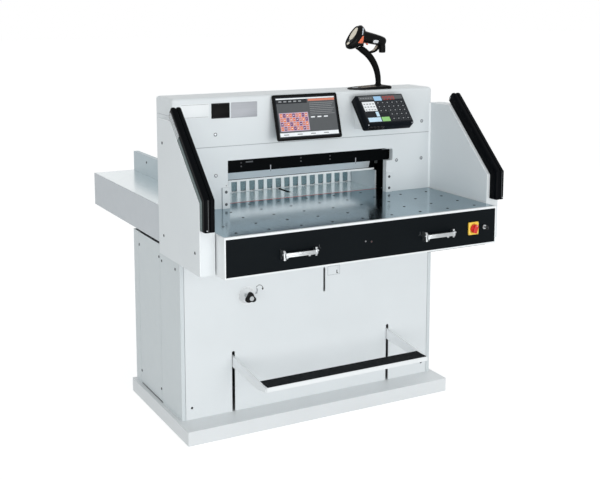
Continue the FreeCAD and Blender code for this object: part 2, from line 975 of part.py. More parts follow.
def light_curtains():
    run = wing_top_front - wing_front
    rise = wing_top - wing_corner_z
    length = math.hypot(run, rise)
    run_y = run / length
    run_z = rise / length
    reach = length + curtain_overrun
    front = wing_front - curtain_depth
    line_y = wing_front - run_z * curtain_depth
    line_z = wing_corner_z + run_y * curtain_depth
    mitre_z = line_z + (front - line_y) * run_z / run_y
    lower_outline = [(wing_front, curtain_bottom), (front - overcut, curtain_bottom),
                     (front - overcut, mitre_z), (front, mitre_z), (wing_front, wing_corner_z)]
    end = (wing_front + run_y * reach, wing_corner_z + run_z * reach)
    end_front = (line_y + run_y * reach, line_z + run_z * reach)
    upper_outline = [(wing_front, wing_corner_z), (front, mitre_z), end_front, end]
    lower = curtain_bar(wing_front, curtain_bottom, 0.0, 1.0, mitre_z - curtain_bottom + mitre_overlap,
                        0.0, lower_outline)
    upper = curtain_bar(wing_front, wing_corner_z, run_y, run_z, reach, mitre_overlap, upper_outline)
    save("light_curtain_left", [mirrored(lower), mirrored(upper)])
    save("light_curtain_right", [lower, upper])


def knife_beam():
    beam = block(-beam_half, beam_half, beam_front, beam_back, beam_bottom, beam_top)
    lug = block(knife_rod_x - lug_margin, -beam_half, beam_front, beam_back, beam_bottom,
                beam_bottom + lug_height)
    beam = fused([beam, lug])
    for side in sides:
        start = point(side * pin_x, beam_front - overcut, pin_z)
        end = start - knife_direction * knife_stroke
        across = point(0, beam_back - beam_front + 2.0 * overcut, 0)
        radius = pin_radius + running_gap
        slot = [rod(radius, start, start + across), rod(radius, end, end + across)]
        slot.append(slot_bridge(start, end, across, radius))
        beam = beam.cut(fused(slot))
    beam = beam.cut(rod(knife_rod_radius, along_knife(0.0), along_knife(knife_rod_length)))
    save("knife_beam", [beam])


def slot_bridge(start, end, across, radius):
    along = end - start
    along.normalize()
    sideways = point(along.z, 0, -along.x) * radius
    return prism([start + sideways, end + sideways, end - sideways, start - sideways], across)


def knife_blade():
    back = cut_line
    front = beam_back
    edge = blade_edge_z
    outline = [(back, edge), (back, edge + blade_height), (front, edge + blade_height),
               (front, edge + blade_bevel), (back - blade_land, edge)]
    save("knife_blade", [side_prism(outline, blade_left, blade_right)])


def knife_rod():
    end = along_knife(knife_rod_length)
    piston_start = along_knife(knife_rod_length - piston_length)
    shaft = rod(knife_rod_radius, along_knife(0.0), end)
    piston = rod(knife_chamber_radius - piston_gap, piston_start, end)
    save("knife_rod", [fused([shaft, piston])])


def knife_barrel():
    start = along_knife(knife_barrel_start)
    end = along_knife(knife_barrel_start + knife_barrel_length)
    barrel = rod(knife_barrel_radius, start, end)
    chamber_start = along_knife(knife_barrel_start + gland_length)
    chamber_end = along_knife(knife_barrel_start + knife_barrel_length - gland_length)
    bracket_top = barrel_bracket_bottom + barrel_bracket_height
    bracket_front = knife_rod_y + knife_chamber_radius + bracket_gap
    bracket_x = along_knife(knife_barrel_start + bracket_place).x
    arm = block(-cheek_inner, bracket_x, bracket_front, cheek_front + bracket_gap,
                barrel_bracket_bottom, bracket_top)
    foot = block(-cheek_inner, -cheek_inner + bracket_foot, bracket_front, cheek_front + bracket_reach,
                 barrel_bracket_bottom, bracket_top)
    barrel = fused([barrel, arm, foot])
    barrel = barrel.cut(rod(knife_chamber_radius, chamber_start, chamber_end))
    bore = rod(knife_rod_radius + running_gap, along_knife(knife_barrel_start - overcut), chamber_start)
    return barrel.cut(bore)


def clamp_barrel():
    low = clamp_barrel_bottom
    top = clamp_barrel_top
    barrel = rod(clamp_barrel_radius, point(0, clamp_rod_y, low), point(0, clamp_rod_y, top))
    foot = rod(barrel_foot_radius, point(0, clamp_rod_y, base_height), point(0, clamp_rod_y, low))
    barrel = fused([barrel, foot])
    chamber_top = top - gland_length
    barrel = barrel.cut(rod(clamp_chamber_radius, point(0, clamp_rod_y, low + gland_length),
                            point(0, clamp_rod_y, chamber_top)))
    return barrel.cut(rod(clamp_piston_rod_radius + running_gap, point(0, clamp_rod_y, chamber_top),
                          point(0, clamp_rod_y, top + overcut)))


def cylinder_barrels():
    save("cylinder_barrels", [knife_barrel(), clamp_barrel()])


def clamp_beam():
    shoulders = block(-clamp_half, clamp_half, clamp_front, clamp_back, clamp_shoulder, clamp_top)
    foot = block(-clamp_narrow_half, clamp_narrow_half, clamp_front, clamp_back, clamp_bottom,
                 clamp_shoulder)
    save("clamp_beam", [fused([shoulders, foot])])


def clamp_plate():
    half = cutting_length / 2.0
    low = clamp_bottom - clamp_plate_thickness
    save("clamp_plate", [block(-half, half, clamp_front, clamp_plate_back, low, clamp_bottom)])


def clamp_yoke():
    top = yoke_bottom + yoke_height
    bar = block(-clamp_half, clamp_half, clamp_rod_y - yoke_depth / 2.0,
                clamp_rod_y + yoke_depth / 2.0, yoke_bottom, top)
    pieces = [bar]
    for side in sides:
        x = side * clamp_rod_x
        pieces.append(rod(clamp_rod_radius, point(x, clamp_rod_y, yoke_bottom + yoke_socket),
                          point(x, clamp_rod_y, clamp_shoulder)))
    piston_top = clamp_barrel_top - gland_length - clamp_piston_drop
    piston_bottom = piston_top - piston_length
    pieces.append(rod(clamp_piston_rod_radius, point(0, clamp_rod_y, piston_bottom),
                      point(0, clamp_rod_y, yoke_bottom + yoke_socket)))
    pieces.append(rod(clamp_chamber_radius - piston_gap, point(0, clamp_rod_y, piston_bottom),
                      point(0, clamp_rod_y, piston_top)))
    save("clamp_yoke", [fused(pieces)])


def gauge_fence():
    low = table_top + face_gap
    top = low + fence_height
    back = fence_front + fence_depth
    pieces = [block(-fence_half, fence_half, back - fence_plate, back, low, top),
              block(-fence_half, fence_half, fence_front, back, top - fence_cap, top)]
    for index in range(fin_count):
        x = (index - (fin_count - 1) / 2.0) * fin_pitch
        pieces.append(block(x - fin_width / 2.0, x + fin_width / 2.0, fence_front, back, low, top))
    web_back = gauge_web_front + gauge_web_length
    nut_top = plate_bottom - gauge_nut_drop
    pieces.append(block(-gauge_web_width / 2.0, gauge_web_width / 2.0, gauge_web_front,
                        web_back, nut_top, low + fence_cap))
    pieces.append(block(-gauge_nut_half, gauge_nut_half, gauge_web_front, web_back,
                        nut_top - gauge_nut_height, nut_top))
    fence = fused(pieces)
    fence = fence.cut(rod(screw_radius + running_gap, point(0, gauge_web_front - overcut, screw_z),
                          point(0, web_back + overcut, screw_z)))
    save("gauge_fence", [fence])


def gauge_screw():
    start = bed_back + face_gap
    end = gauge_motor_front - face_gap
    pieces = [rod(screw_radius, point(0, start, screw_z), point(0, end, screw_z)),
              rod(journal_radius, point(0, bed_back - journal_length, screw_z),
                  point(0, start, screw_z)),
              rod(journal_radius, point(0, end, screw_z),
                  point(0, gauge_motor_front + journal_length, screw_z))]
    save("gauge_screw", [fused(pieces)])


def gauge_motor():
    half = gauge_motor_half
    front = gauge_motor_front
    case = block(-half, half, front, front + gauge_motor_length, screw_z - half, screw_z + half)
    foot_front = front + motor_foot_start
    foot = block(-half, half, foot_front, foot_front + motor_foot_length, screw_z + half, plate_bottom)
    motor = fused([case, foot])
    motor = motor.cut(rod(journal_radius + running_gap, point(0, front - overcut, screw_z),
                          point(0, front + journal_length + bore_relief, screw_z)))
    save("gauge_motor", [motor])


def pedal_arm(side):
    slot_mid = pedal_pivot_z - arm_drop
    slot_high = slot_mid + arm_slot_height / 2.0
    slot_low = slot_mid - arm_slot_height / 2.0
    end_high = pedal_top
    end_low = pedal_top - arm_end_height
    tail = pedal_pivot_y + arm_tail
    nose = pedal_front + arm_nose
    outline = [(nose, end_high - arm_nose_drop), (cabinet_front, slot_high), (pedal_pivot_y, pedal_pivot_z + arm_hub_half),
               (tail, pedal_pivot_z + arm_tail_half), (tail, pedal_pivot_z - arm_tail_half),
               (pedal_pivot_y, pedal_pivot_z - arm_hub_half), (cabinet_front, slot_low),
               (pedal_back, end_low), (nose, end_high - pedal_plate)]
    half = pedal_arm_thickness / 2.0
    arm = side_prism(outline, side * arm_slot_x - half, side * arm_slot_x + half)
    pin = rod(pedal_pin_radius, point(side * arm_slot_x, pedal_pivot_y, pedal_pivot_z),
              point(side * (cheek_outer - pedal_pin_gap), pedal_pivot_y, pedal_pivot_z))
    return [arm, pin]


def foot_pedal():
    half = arm_slot_x
    low = pedal_top - pedal_plate
    plate = block(-half, half, pedal_front, pedal_back, pedal_top - sheet, pedal_top)
    lip = block(-half, half, pedal_front, pedal_front + sheet, low, pedal_top)
    heel = block(-half, half, pedal_back - sheet, pedal_back, low, pedal_top)
    save("foot_pedal", [fused([plate, lip, heel] + pedal_arm(-1.0) + pedal_arm(1.0))])


def pedal_tread():
    front = pedal_front + pedal_mat_inset
    back = pedal_back - pedal_mat_inset
    save("pedal_mat", [block(-pedal_half, pedal_half, front, back, pedal_top, pedal_top + pedal_mat)])


def trigger_axis():
    return fascia_front - trigger_bracket_depth + trigger_bar_depth / 2.0


def trigger_brackets():
    brackets = []
    for side in sides:
        for end in sides:
            x = side * trigger_x + end * (trigger_length - trigger_bracket_width) / 2.0
            half = trigger_bracket_width / 2.0
            low = trigger_z - trigger_bracket_height / 2.0
            ear = block(x - half, x + half, fascia_front - trigger_bracket_depth, fascia_front,
                        low, low + trigger_bracket_height)
            pin_height = trigger_z + trigger_pin_rise
            axis = trigger_axis()
            bore = rod(trigger_pin_radius + running_gap, point(x - half - overcut, axis, pin_height),
                       point(x + half + overcut, axis, pin_height))
            brackets.append(ear.cut(bore))
    save("trigger_brackets", brackets)


def trigger_bar(side):
    half = trigger_length / 2.0 - trigger_bracket_width - face_gap
    centre = side * trigger_x
    axis = trigger_axis()
    high = trigger_bar_height / 2.0
    deep = trigger_bar_depth / 2.0
    bar = block(centre - half, centre + half, axis - deep, axis + deep, trigger_z - high,
                trigger_z + high)

    def long_edge(edge):
        return edge.BoundBox.XLength > short_edge

    bar = round_edges(bar, trigger_bar_corner, long_edge)
    pin_height = trigger_z + trigger_pin_rise
    pin = rod(trigger_pin_radius, point(centre - half - trigger_pin_length, axis, pin_height),
              point(centre + half + trigger_pin_length, axis, pin_height))
    return fused([bar, pin])


def triggers():
    trigger_brackets()
    save("trigger_bar_left", [trigger_bar(-1.0)])
    save("trigger_bar_right", [trigger_bar(1.0)])


def main_switch():
    half = switch_plate_size / 2.0
    face = fascia_front - switch_plate_depth
    plate = block(switch_x - half, switch_x + half, face, fascia_front, switch_z - half,
                  switch_z + half)
    plate = plate.cut(rod(switch_shaft_radius + running_gap, point(switch_x, face - overcut, switch_z),
                          point(switch_x, fascia_front + overcut, switch_z)))
    save("switch_plate", [plate])
    knob_back = face - face_gap
    knob_front = knob_back - switch_knob_depth
    disc = rod(switch_knob_radius, point(switch_x, knob_back - switch_knob_depth / 2.0, switch_z),
               point(switch_x, knob_back, switch_z))
    reach = switch_knob_radius - switch_grip_inset
    grip = block(switch_x - switch_grip_half, switch_x + switch_grip_half, knob_front, knob_back,
                 switch_z - reach, switch_z + reach)
    shaft = rod(switch_shaft_radius, point(switch_x, knob_back, switch_z),
                point(switch_x, fascia_front - face_gap, switch_z))
    save("switch_knob", [fused([disc, grip, shaft])])


def key_switch():
    face = fascia_front - switch_plate_depth
    barrel = rod(lock_radius, point(lock_x, face, switch_z), point(lock_x, fascia_front, switch_z))
    barrel = barrel.cut(rod(key_stem_radius + running_gap, point(lock_x, face - overcut, switch_z),
                            point(lock_x, fascia_front + overcut, switch_z)))
    save("key_lock", [barrel])
    bow_back = face - face_gap - key_shoulder
    bow = rod(key_radius, point(lock_x - key_thickness / 2.0, bow_back - key_radius, switch_z),
              point(lock_x + key_thickness / 2.0, bow_back - key_radius, switch_z))
    stem = rod(key_stem_radius, point(lock_x, bow_back - key_overlap, switch_z),
               point(lock_x, fascia_front - face_gap, switch_z))
    save("key", [fused([bow, stem])])


def pressure_dial():
    face = cabinet_front
    outer = dial_radius - dial_seat
    front = face - dial_rim_depth
    cup = rod(outer, point(dial_x, face, dial_z), point(dial_x, face + dial_depth, dial_z))
    rim = rod(dial_radius + dial_rim, point(dial_x, front, dial_z), point(dial_x, face, dial_z))
    cup = fused([cup, rim])
    dish = Part.makeCone(outer - dial_lip, dial_floor_radius, dial_dish + dial_rim_depth,
                         point(dial_x, front, dial_z), point(0, 1, 0))
    boss = rod(dial_boss_radius, point(dial_x, face, dial_z),
               point(dial_x, face + dial_depth, dial_z))
    cup = cup.cut(dish).fuse(boss).removeSplitter()
    cup = cup.cut(rod(knob_shaft_radius + running_gap, point(dial_x, front - overcut, dial_z),
                      point(dial_x, face + dial_bore_depth, dial_z)))
    save("knob_dial_cup", [cup])


def pressure_knob():
    core = rod(knob_radius - knob_lobe / 2.0, point(dial_x, knob_front, dial_z),
               point(dial_x, knob_back, dial_z))
    pieces = [core]
    for index in range(knob_lobes):
        angle = math.radians(90.0 + 360.0 / knob_lobes * index)
        x = dial_x + (knob_radius - knob_lobe) * math.cos(angle)
        z = dial_z + (knob_radius - knob_lobe) * math.sin(angle)
        pieces.append(rod(knob_lobe, point(x, knob_front, z), point(x, knob_back, z)))
    pieces.append(rod(knob_cap_radius, point(dial_x, knob_front - knob_cap_height, dial_z),
                      point(dial_x, knob_front, dial_z)))
    pieces.append(rod(knob_shaft_radius, point(dial_x, knob_back - overcut, dial_z),
                      point(dial_x, cabinet_front + knob_shaft_depth, dial_z)))
    save("pressure_knob", [fused(pieces)])


def leaned(shape, foot_y, foot_z, tilt):
    shape.rotate(point(0, 0, 0), point(1, 0, 0), -tilt)
    shape.translate(point(0, foot_y, foot_z))
    return shape


def screened_case(left, width, height, thickness, border):
    case = block(left, left + width, 0, thickness, 0, height)

    def through(edge):
        return edge.BoundBox.YLength > short_edge

    case = round_edges(case, screen_corner, through)
    glass = block(left + border, left + width - border, 0, screen_depth, border, height - border)
    return case.cut(glass), glass


def tablet():
    case, glass = screened_case(tablet_left, tablet_width, tablet_height, tablet_thickness,
                                tablet_border)
    save("tablet_housing", [leaned(case, tablet_foot_y, tablet_foot_z, tablet_tilt)])
    save("tablet_screen", [leaned(glass, tablet_foot_y, tablet_foot_z, tablet_tilt)])


def control_panel():
    case, glass = screened_case(panel_left, panel_width, panel_height, panel_thickness,
                                panel_border)
    plug_left = panel_left + plug_start
    plug = block(plug_left, plug_left + plug_length, plug_front, plug_back, -plug_drop, 0.0)
    case = fused([case, plug])
    save("panel_housing", [leaned(case, panel_foot_y, panel_foot_z, panel_tilt)])
    save("panel_screen", [leaned(glass, panel_foot_y, panel_foot_z, panel_tilt)])


def wedge(left, right, foot_y, foot_z, tilt, thickness, low, high):
    lean = math.tan(math.radians(tilt))
    back_y = foot_y + thickness * math.cos(math.radians(tilt))
    back_z = foot_z - thickness * math.sin(math.radians(tilt))
    start_y = back_y + (low - back_z) * lean
    end_y = back_y + (high - back_z) * lean
    outline = [(head_front, low), (start_y, low), (end_y, high), (head_front, high)]
    return side_prism(outline, left, right)


def screen_mounts():
    tablet_low = tablet_foot_z + tablet_mount_rise
    tablet_wedge = wedge(tablet_left + tablet_mount_inset,
                         tablet_left + tablet_width - tablet_mount_inset, tablet_foot_y,
                         tablet_foot_z, tablet_tilt, tablet_thickness,
                         tablet_low, tablet_low + tablet_mount_height)
    panel_low = panel_foot_z - wedge_drop
    panel_wedge = wedge(panel_left + wedge_inset, panel_left + panel_width - wedge_inset,
                        panel_foot_y, panel_foot_z, panel_tilt, panel_thickness,
                        panel_low, panel_low + wedge_height)
    save("screen_mounts", [tablet_wedge, panel_wedge])


def scanner_stand():
    low = head_top
    high = low + stand_thickness
    back = stand_front + stand_depth
    middle = (stand_front + back) / 2.0
    nose = stand_depth / 2.0
    plate = block(stand_left + nose, stand_right, stand_front, back, low, high)

    def right_corner(edge):
        box = edge.BoundBox
        return box.ZLength > short_edge and box.XMin > stand_right - near

    plate = round_edges(plate, stand_corner, right_corner)
    tip = rod(nose, point(stand_left + nose, middle, low), point(stand_left + nose, middle, high))
    foot = point(neck_x, neck_y, high - overcut)
    bend_start = point(neck_x, neck_y, high + neck_straight)
    bend = math.radians(neck_angle)
    path = Part.Wire([Part.LineSegment(foot, bend_start).toShape(),
                      Part.Arc(bend_start, neck_point(bend / 2.0), neck_point(bend)).toShape()])
    ring = Part.Wire([Part.Circle(foot, point(0, 0, 1), neck_radius).toShape()])
    neck = path.makePipeShell([ring], True, False)
    cup = rod(cup_radius, point(cup_x, neck_y, cup_bottom), point(cup_x, neck_y, cup_top))
    above = rod(3.0 * cup_radius, point(cup_x, neck_y, cup_top),
                point(cup_x, neck_y, cup_top + 3.0 * cup_radius))
    save("scanner_stand", [fused([plate, tip, neck.cut(above), cup, stand_hook()])])


def neck_point(angle):
    bend_z = head_top + stand_thickness + neck_straight
    return point(neck_x - neck_bend * (1.0 - math.cos(angle)), neck_y,
                 bend_z + neck_bend * math.sin(angle))


def stand_hook():
    start = point(cup_x + cup_radius - hook_radius, neck_y, cup_bottom + hook_rise)
    low = point(cup_x + hook_run, neck_y, cup_bottom + hook_dip)
    end = point(cup_x + hook_end, neck_y, cup_top - hook_gap)
    curve = Part.Arc(start, low, end)
    path = Part.Wire([curve.toShape()])
    ring = Part.Circle(start, curve.tangent(curve.FirstParameter)[0], hook_radius)
    return path.makePipeShell([Part.Wire([ring.toShape()])], True, False)


def oval(centre, pitch, tall, wide):
    up = point(math.sin(pitch), 0, math.cos(pitch))
    across = point(0, 1, 0)
    curve = Part.Ellipse(centre + up * tall, centre + across * wide, centre)
    return Part.Wire([curve.toShape()])


def hood_station(distance, lift, half):
    pitch = math.radians(scanner_pitch)
    back = point(math.cos(pitch), 0, -math.sin(pitch))
    up = point(math.sin(pitch), 0, math.cos(pitch))
    face = point(hood_face_x, neck_y, head_top + hood_face_rise)
    return oval(face + back * distance + up * lift, pitch, half, half * hood_slimness)


def barrel_station(x, rise, half):
    return oval(point(x, neck_y, head_top + rise), math.radians(barrel_tilt), half, half - near)


def scanner_parts():
    shoulder = hood_lip + hood_flat + hood_taper
    hood = Part.makeLoft([hood_station(0.0, 0.0, hood_face_half),
                          hood_station(hood_lip, hood_lift, hood_half),
                          hood_station(hood_lip + hood_flat, hood_lift, hood_half),
                          hood_station(shoulder, hood_back_lift, hood_shoulder_half),
                          hood_station(shoulder + hood_neck, hood_back_lift, hood_neck_half)],
                         True, True)
    barrel = Part.makeLoft([barrel_station(barrel_start_x, barrel_start_rise, barrel_start_half),
                            barrel_station(barrel_end_x, barrel_end_rise, barrel_end_half),
                            barrel_station(barrel_nose_x, barrel_nose_rise, barrel_nose_half)],
                           True, True)
    grip_bottom = head_top + grip_rise
    grip = rod(grip_radius, point(grip_x, neck_y, grip_bottom),
               point(grip_x, neck_y, grip_bottom + grip_length))
    seat = rod(cup_radius - scanner_seat_inset, point(cup_x, neck_y, cup_top),
               point(cup_x, neck_y, cup_top + scanner_seat_height))
    body = fused([hood, barrel, grip, seat])
    body = body.cut(rod(cup_radius + scanner_seat_gap, point(cup_x, neck_y, cup_bottom),
                        point(cup_x, neck_y, cup_top)))
    pitch = math.radians(scanner_pitch)
    face = point(hood_face_x, neck_y, head_top + hood_face_rise)
    rim = oval(face, pitch, scanner_window_half, scanner_window_width)
    inward = point(math.cos(pitch), 0, -math.sin(pitch)) * scanner_window_depth
    glass = Part.Face(rim).extrude(inward)
    half = scanner_trigger_width / 2.0
    x0 = scanner_trigger_x
    x1 = x0 + scanner_trigger_length
    low = head_top + scanner_trigger_rise
    high = low + scanner_trigger_height
    trigger = block(x0, x1, neck_y - half, neck_y + half, low, high)
    pocket = block(x0 - face_gap, x1 + face_gap, neck_y - half - face_gap, neck_y + half + face_gap,
                   low, high + scanner_trigger_travel)
    save("scanner_body", [body.cut(glass).cut(pocket)])
    save("scanner_window", [glass])
    save("scanner_trigger", [trigger])


def hydraulic_tank():
    tank = block(tank_left, tank_right, tank_front, tank_back, base_height, tank_top)
    cap_x = tank_right - tank_cap_inset
    cap_y = tank_front + tank_cap_inset
    cap = rod(tank_cap_radius, point(cap_x, cap_y, tank_top),
              point(cap_x, cap_y, tank_top + tank_cap_radius))
    save("hydraulic_tank", [fused([tank, cap])])


def pump_motor():
    axis_z = tank_top + pump_axis_rise
    foot = block(pump_foot_left, pump_foot_right, pump_axis_y - pump_foot_half,
                 pump_axis_y + pump_foot_half, tank_top, tank_top + pump_foot_height)
    case = rod(pump_motor_radius, point(pump_motor_left, pump_axis_y, axis_z),
               point(pump_motor_right, pump_axis_y, axis_z))
    pump = rod(pump_radius, point(pump_motor_right, pump_axis_y, axis_z),
               point(pump_right, pump_axis_y, axis_z))
    valves = block(pump_motor_right, pump_right, pump_axis_y - pump_valve_half,
                   pump_axis_y + pump_valve_half, tank_top, axis_z)
    save("pump_motor", [fused([foot, case, pump, valves])])


def control_box():
    save("control_box", [block(control_left, control_right, control_front, control_back,
                               base_height, control_top)])


def air_blower():
    wheel_end = blower_left + blower_wheel_width
    wheel = rod(blower_wheel_radius, point(blower_left, blower_y, blower_z),
                point(wheel_end, blower_y, blower_z))
    motor = rod(blower_motor_radius, point(wheel_end, blower_y, blower_z),
                point(blower_right, blower_y, blower_z))
    foot = block(blower_left, blower_right, blower_y - blower_foot_half, blower_y + blower_foot_half,
                 base_height, blower_foot_top)
    duct_x = blower_left + blower_wheel_width / 2.0
    duct = rod(duct_radius, point(duct_x, duct_y, duct_start),
               point(duct_x, duct_y, table_box_bottom))
    save("air_blower", [fused([wheel, motor, foot, duct])])


def screw_places():
    places = []
    across = point(1, 0, 0)
    outward = point(0, -1, 0)
    wing_side = head_half + wing_thickness
    wing_rear = wing_back - wing_screw_inset
    places.append((point(wing_side, wing_rear, wing_bottom + wing_screw_rise), across))
    places.append((point(wing_side, wing_rear, wing_top - wing_screw_drop), across))
    places.append((point(wing_side, wing_front + wing_screw_front_inset,
                         wing_bottom + wing_screw_rise), across))
    for y in (hatch_front + cabinet_screw_inset, hatch_back - cabinet_screw_inset):
        places.append((point(cabinet_half, y, base_height + hatch_screw_rise), across))
        places.append((point(cabinet_half, y, cabinet_top - hatch_screw_drop), across))
    for y in (cabinet_front + cabinet_screw_front_inset, hatch_front - 2.0 * cabinet_screw_inset):
        places.append((point(cabinet_half, y, cabinet_top - cabinet_screw_drop), across))
    places.append((point(rear_guide_outer, rear_guide_back - guide_screw_inset,
                         table_top + guide_screw_rise), across))
    beside_panel = panel_left + panel_width + head_screw_gap
    for x in (beside_panel, head_half - head_screw_inset):
        places.append((point(x, head_front, head_seam - head_screw_drop), outward))
        places.append((point(x, head_front, head_seam + head_screw_rise), outward))
    block_x = (block_inner + block_outer) / 2.0
    for height in (block_screw_low, block_screw_high):
        places.append((point(block_x, head_front - block_proud, table_top + height), outward))
    return places


def cover_screws():
    screws = []
    for place, direction in screw_places():
        head = Part.makeCylinder(screw_head_radius, screw_head_height, place, direction)
        screws.append(head)
        screws.append(mirrored(head))
    save("cover_screws", screws)


base_plinth()
cabinet_sides()
front_panel()
rear_panel()
frame_cheeks()
machine_bed()
gantry()
table_box()
front_fascia()
front_table()
air_nozzles()
cutting_stick()
rear_table()
rear_table_box()
side_guides()
head_cover()
head_front_lower()
guide_blocks()
wings()
light_curtains()
knife_beam()
knife_blade()
knife_rod()
cylinder_barrels()
clamp_beam()
clamp_plate()
clamp_yoke()
gauge_fence()
gauge_screw()
gauge_motor()
foot_pedal()
pedal_tread()
triggers()
main_switch()
key_switch()
pressure_dial()
pressure_knob()
tablet()
control_panel()
screen_mounts()
scanner_stand()
scanner_parts()
hydraulic_tank()
pump_motor()
control_box()
air_blower()
cover_screws()
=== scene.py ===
import json
from math import copysign, cos, pi, radians, sin

import bmesh
import bpy
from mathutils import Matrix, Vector
from mathutils.bvhtree import BVHTree

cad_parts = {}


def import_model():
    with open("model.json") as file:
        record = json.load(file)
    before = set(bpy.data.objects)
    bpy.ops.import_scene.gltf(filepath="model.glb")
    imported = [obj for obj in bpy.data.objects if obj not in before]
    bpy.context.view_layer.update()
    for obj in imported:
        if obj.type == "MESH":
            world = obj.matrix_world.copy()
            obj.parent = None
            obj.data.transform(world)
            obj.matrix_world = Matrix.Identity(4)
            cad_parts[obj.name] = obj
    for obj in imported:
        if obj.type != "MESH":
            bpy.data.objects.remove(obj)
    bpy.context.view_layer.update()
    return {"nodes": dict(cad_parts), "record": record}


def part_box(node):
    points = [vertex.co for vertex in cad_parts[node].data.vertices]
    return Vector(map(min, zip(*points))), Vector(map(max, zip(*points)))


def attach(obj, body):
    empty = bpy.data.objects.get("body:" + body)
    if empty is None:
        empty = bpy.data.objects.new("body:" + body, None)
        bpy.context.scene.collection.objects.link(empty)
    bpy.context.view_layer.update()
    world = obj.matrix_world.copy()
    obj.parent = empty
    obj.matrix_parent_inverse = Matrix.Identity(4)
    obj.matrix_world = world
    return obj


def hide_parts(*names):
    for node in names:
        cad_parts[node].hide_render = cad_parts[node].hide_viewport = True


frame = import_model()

# The looks of a floor-standing stack paper cutter. Lengths are in metres, in the model's own frame.

mm = 0.001
LEFT, RIGHT = -1.0, 1.0
FRONT = Vector((0, -1, 0))
BACK = Vector((0, 1, 0))
UP = Vector((0, 0, 1))
ACROSS = Vector((1, 0, 0))

# Camera, tipped down a little, with the rest of the framing left to a small shift of its lens
CAMERA_PLACE = (-1.961, -3.7694, 1.6863)
CAMERA_TURN = 28.122
CAMERA_TIP = 8.183
CAMERA_LENS = 60.942
CAMERA_SENSOR = 36.0
CAMERA_SHIFT = -0.155


# Materials

COAT_ROUGH = 0.1
PATCH_SCALE = 9.0
ROUGH_PART = 0.15
BUMP_STRENGTH = 0.6
ALONG = (1, 60, 60)
POWDER = {"rough": 0.38, "edge": 1.5 * mm, "mottle": 0.012, "specular": 0.4}


def link(owner, start, end):
    owner.node_tree.links.new(start, end)


def add_node(owner, kind, **values):
    node = owner.node_tree.nodes.new(kind)
    for name, value in values.items():
        node.inputs[name.replace("_", " ")].default_value = value
    return node


def shader_of(mat):
    return mat.node_tree.nodes["Principled BSDF"]


def noise_of(mat, stretch, scale, detail):
    noise = add_node(mat, "ShaderNodeTexNoise", Scale=scale, Detail=detail)
    where = add_node(mat, "ShaderNodeTexCoord")
    scaled = add_node(mat, "ShaderNodeMapping", Scale=stretch)
    link(mat, where.outputs["Object"], scaled.inputs["Vector"])
    link(mat, scaled.outputs["Vector"], noise.inputs["Vector"])
    return noise.outputs["Fac"]


def spread(mat, value, low, high):
    ramp = add_node(mat, "ShaderNodeMapRange", From_Min=0.3, From_Max=0.7, To_Min=low, To_Max=high)
    link(mat, value, ramp.inputs["Value"])
    return ramp.outputs["Result"]


def blend_colours(mat, factor, first, second):
    mix = add_node(mat, "ShaderNodeMix")
    mix.data_type = "RGBA"
    sockets = [socket for socket in mix.inputs if socket.type == "RGBA"]
    for socket, colour in zip(sockets, (first, second)):
        socket.default_value = (*colour, 1.0)
    link(mat, factor, mix.inputs["Factor"])
    return [socket for socket in mix.outputs if socket.type == "RGBA"][0]


def surface(name, colour, rough, metal=0.0, mottle=0.03, mottle_scale=5.0, grain=900.0,
            depth=0.00008, stretch=(1, 1, 1), edge=0.0, specular=0.5, coat=0.0, emit=0.0,
            lines=None):
    mat = bpy.data.materials.new(name)
    mat.use_nodes = True
    shader = shader_of(mat)
    for socket, value in (("Metallic", metal), ("Specular IOR Level", specular),
                          ("Coat Weight", coat), ("Coat Roughness", COAT_ROUGH)):
        shader.inputs[socket].default_value = value
    dark = [c * (1.0 - mottle) for c in colour]
    light = [min(c * (1.0 + mottle), 1.0) for c in colour]
    cloud = spread(mat, noise_of(mat, stretch, mottle_scale, 5.0), 0.0, 1.0)
    tint = blend_colours(mat, cloud, dark, light)
    link(mat, tint, shader.inputs["Base Color"])
    patches = noise_of(mat, stretch, mottle_scale * PATCH_SCALE, 4.0)
    link(mat, spread(mat, patches, rough * (1.0 - ROUGH_PART), rough * (1.0 + ROUGH_PART)),
         shader.inputs["Roughness"])
    bump = add_node(mat, "ShaderNodeBump", Strength=BUMP_STRENGTH, Distance=depth)
    link(mat, noise_of(mat, lines or stretch, grain, 2.0), bump.inputs["Height"])
    if edge:
        bevel = add_node(mat, "ShaderNodeBevel", Radius=edge)
        bevel.samples = 4
        link(mat, bevel.outputs["Normal"], bump.inputs["Normal"])
    link(mat, bump.outputs["Normal"], shader.inputs["Normal"])
    if emit:
        link(mat, tint, shader.inputs["Emission Color"])
        shader.inputs["Emission Strength"].default_value = emit
    return mat


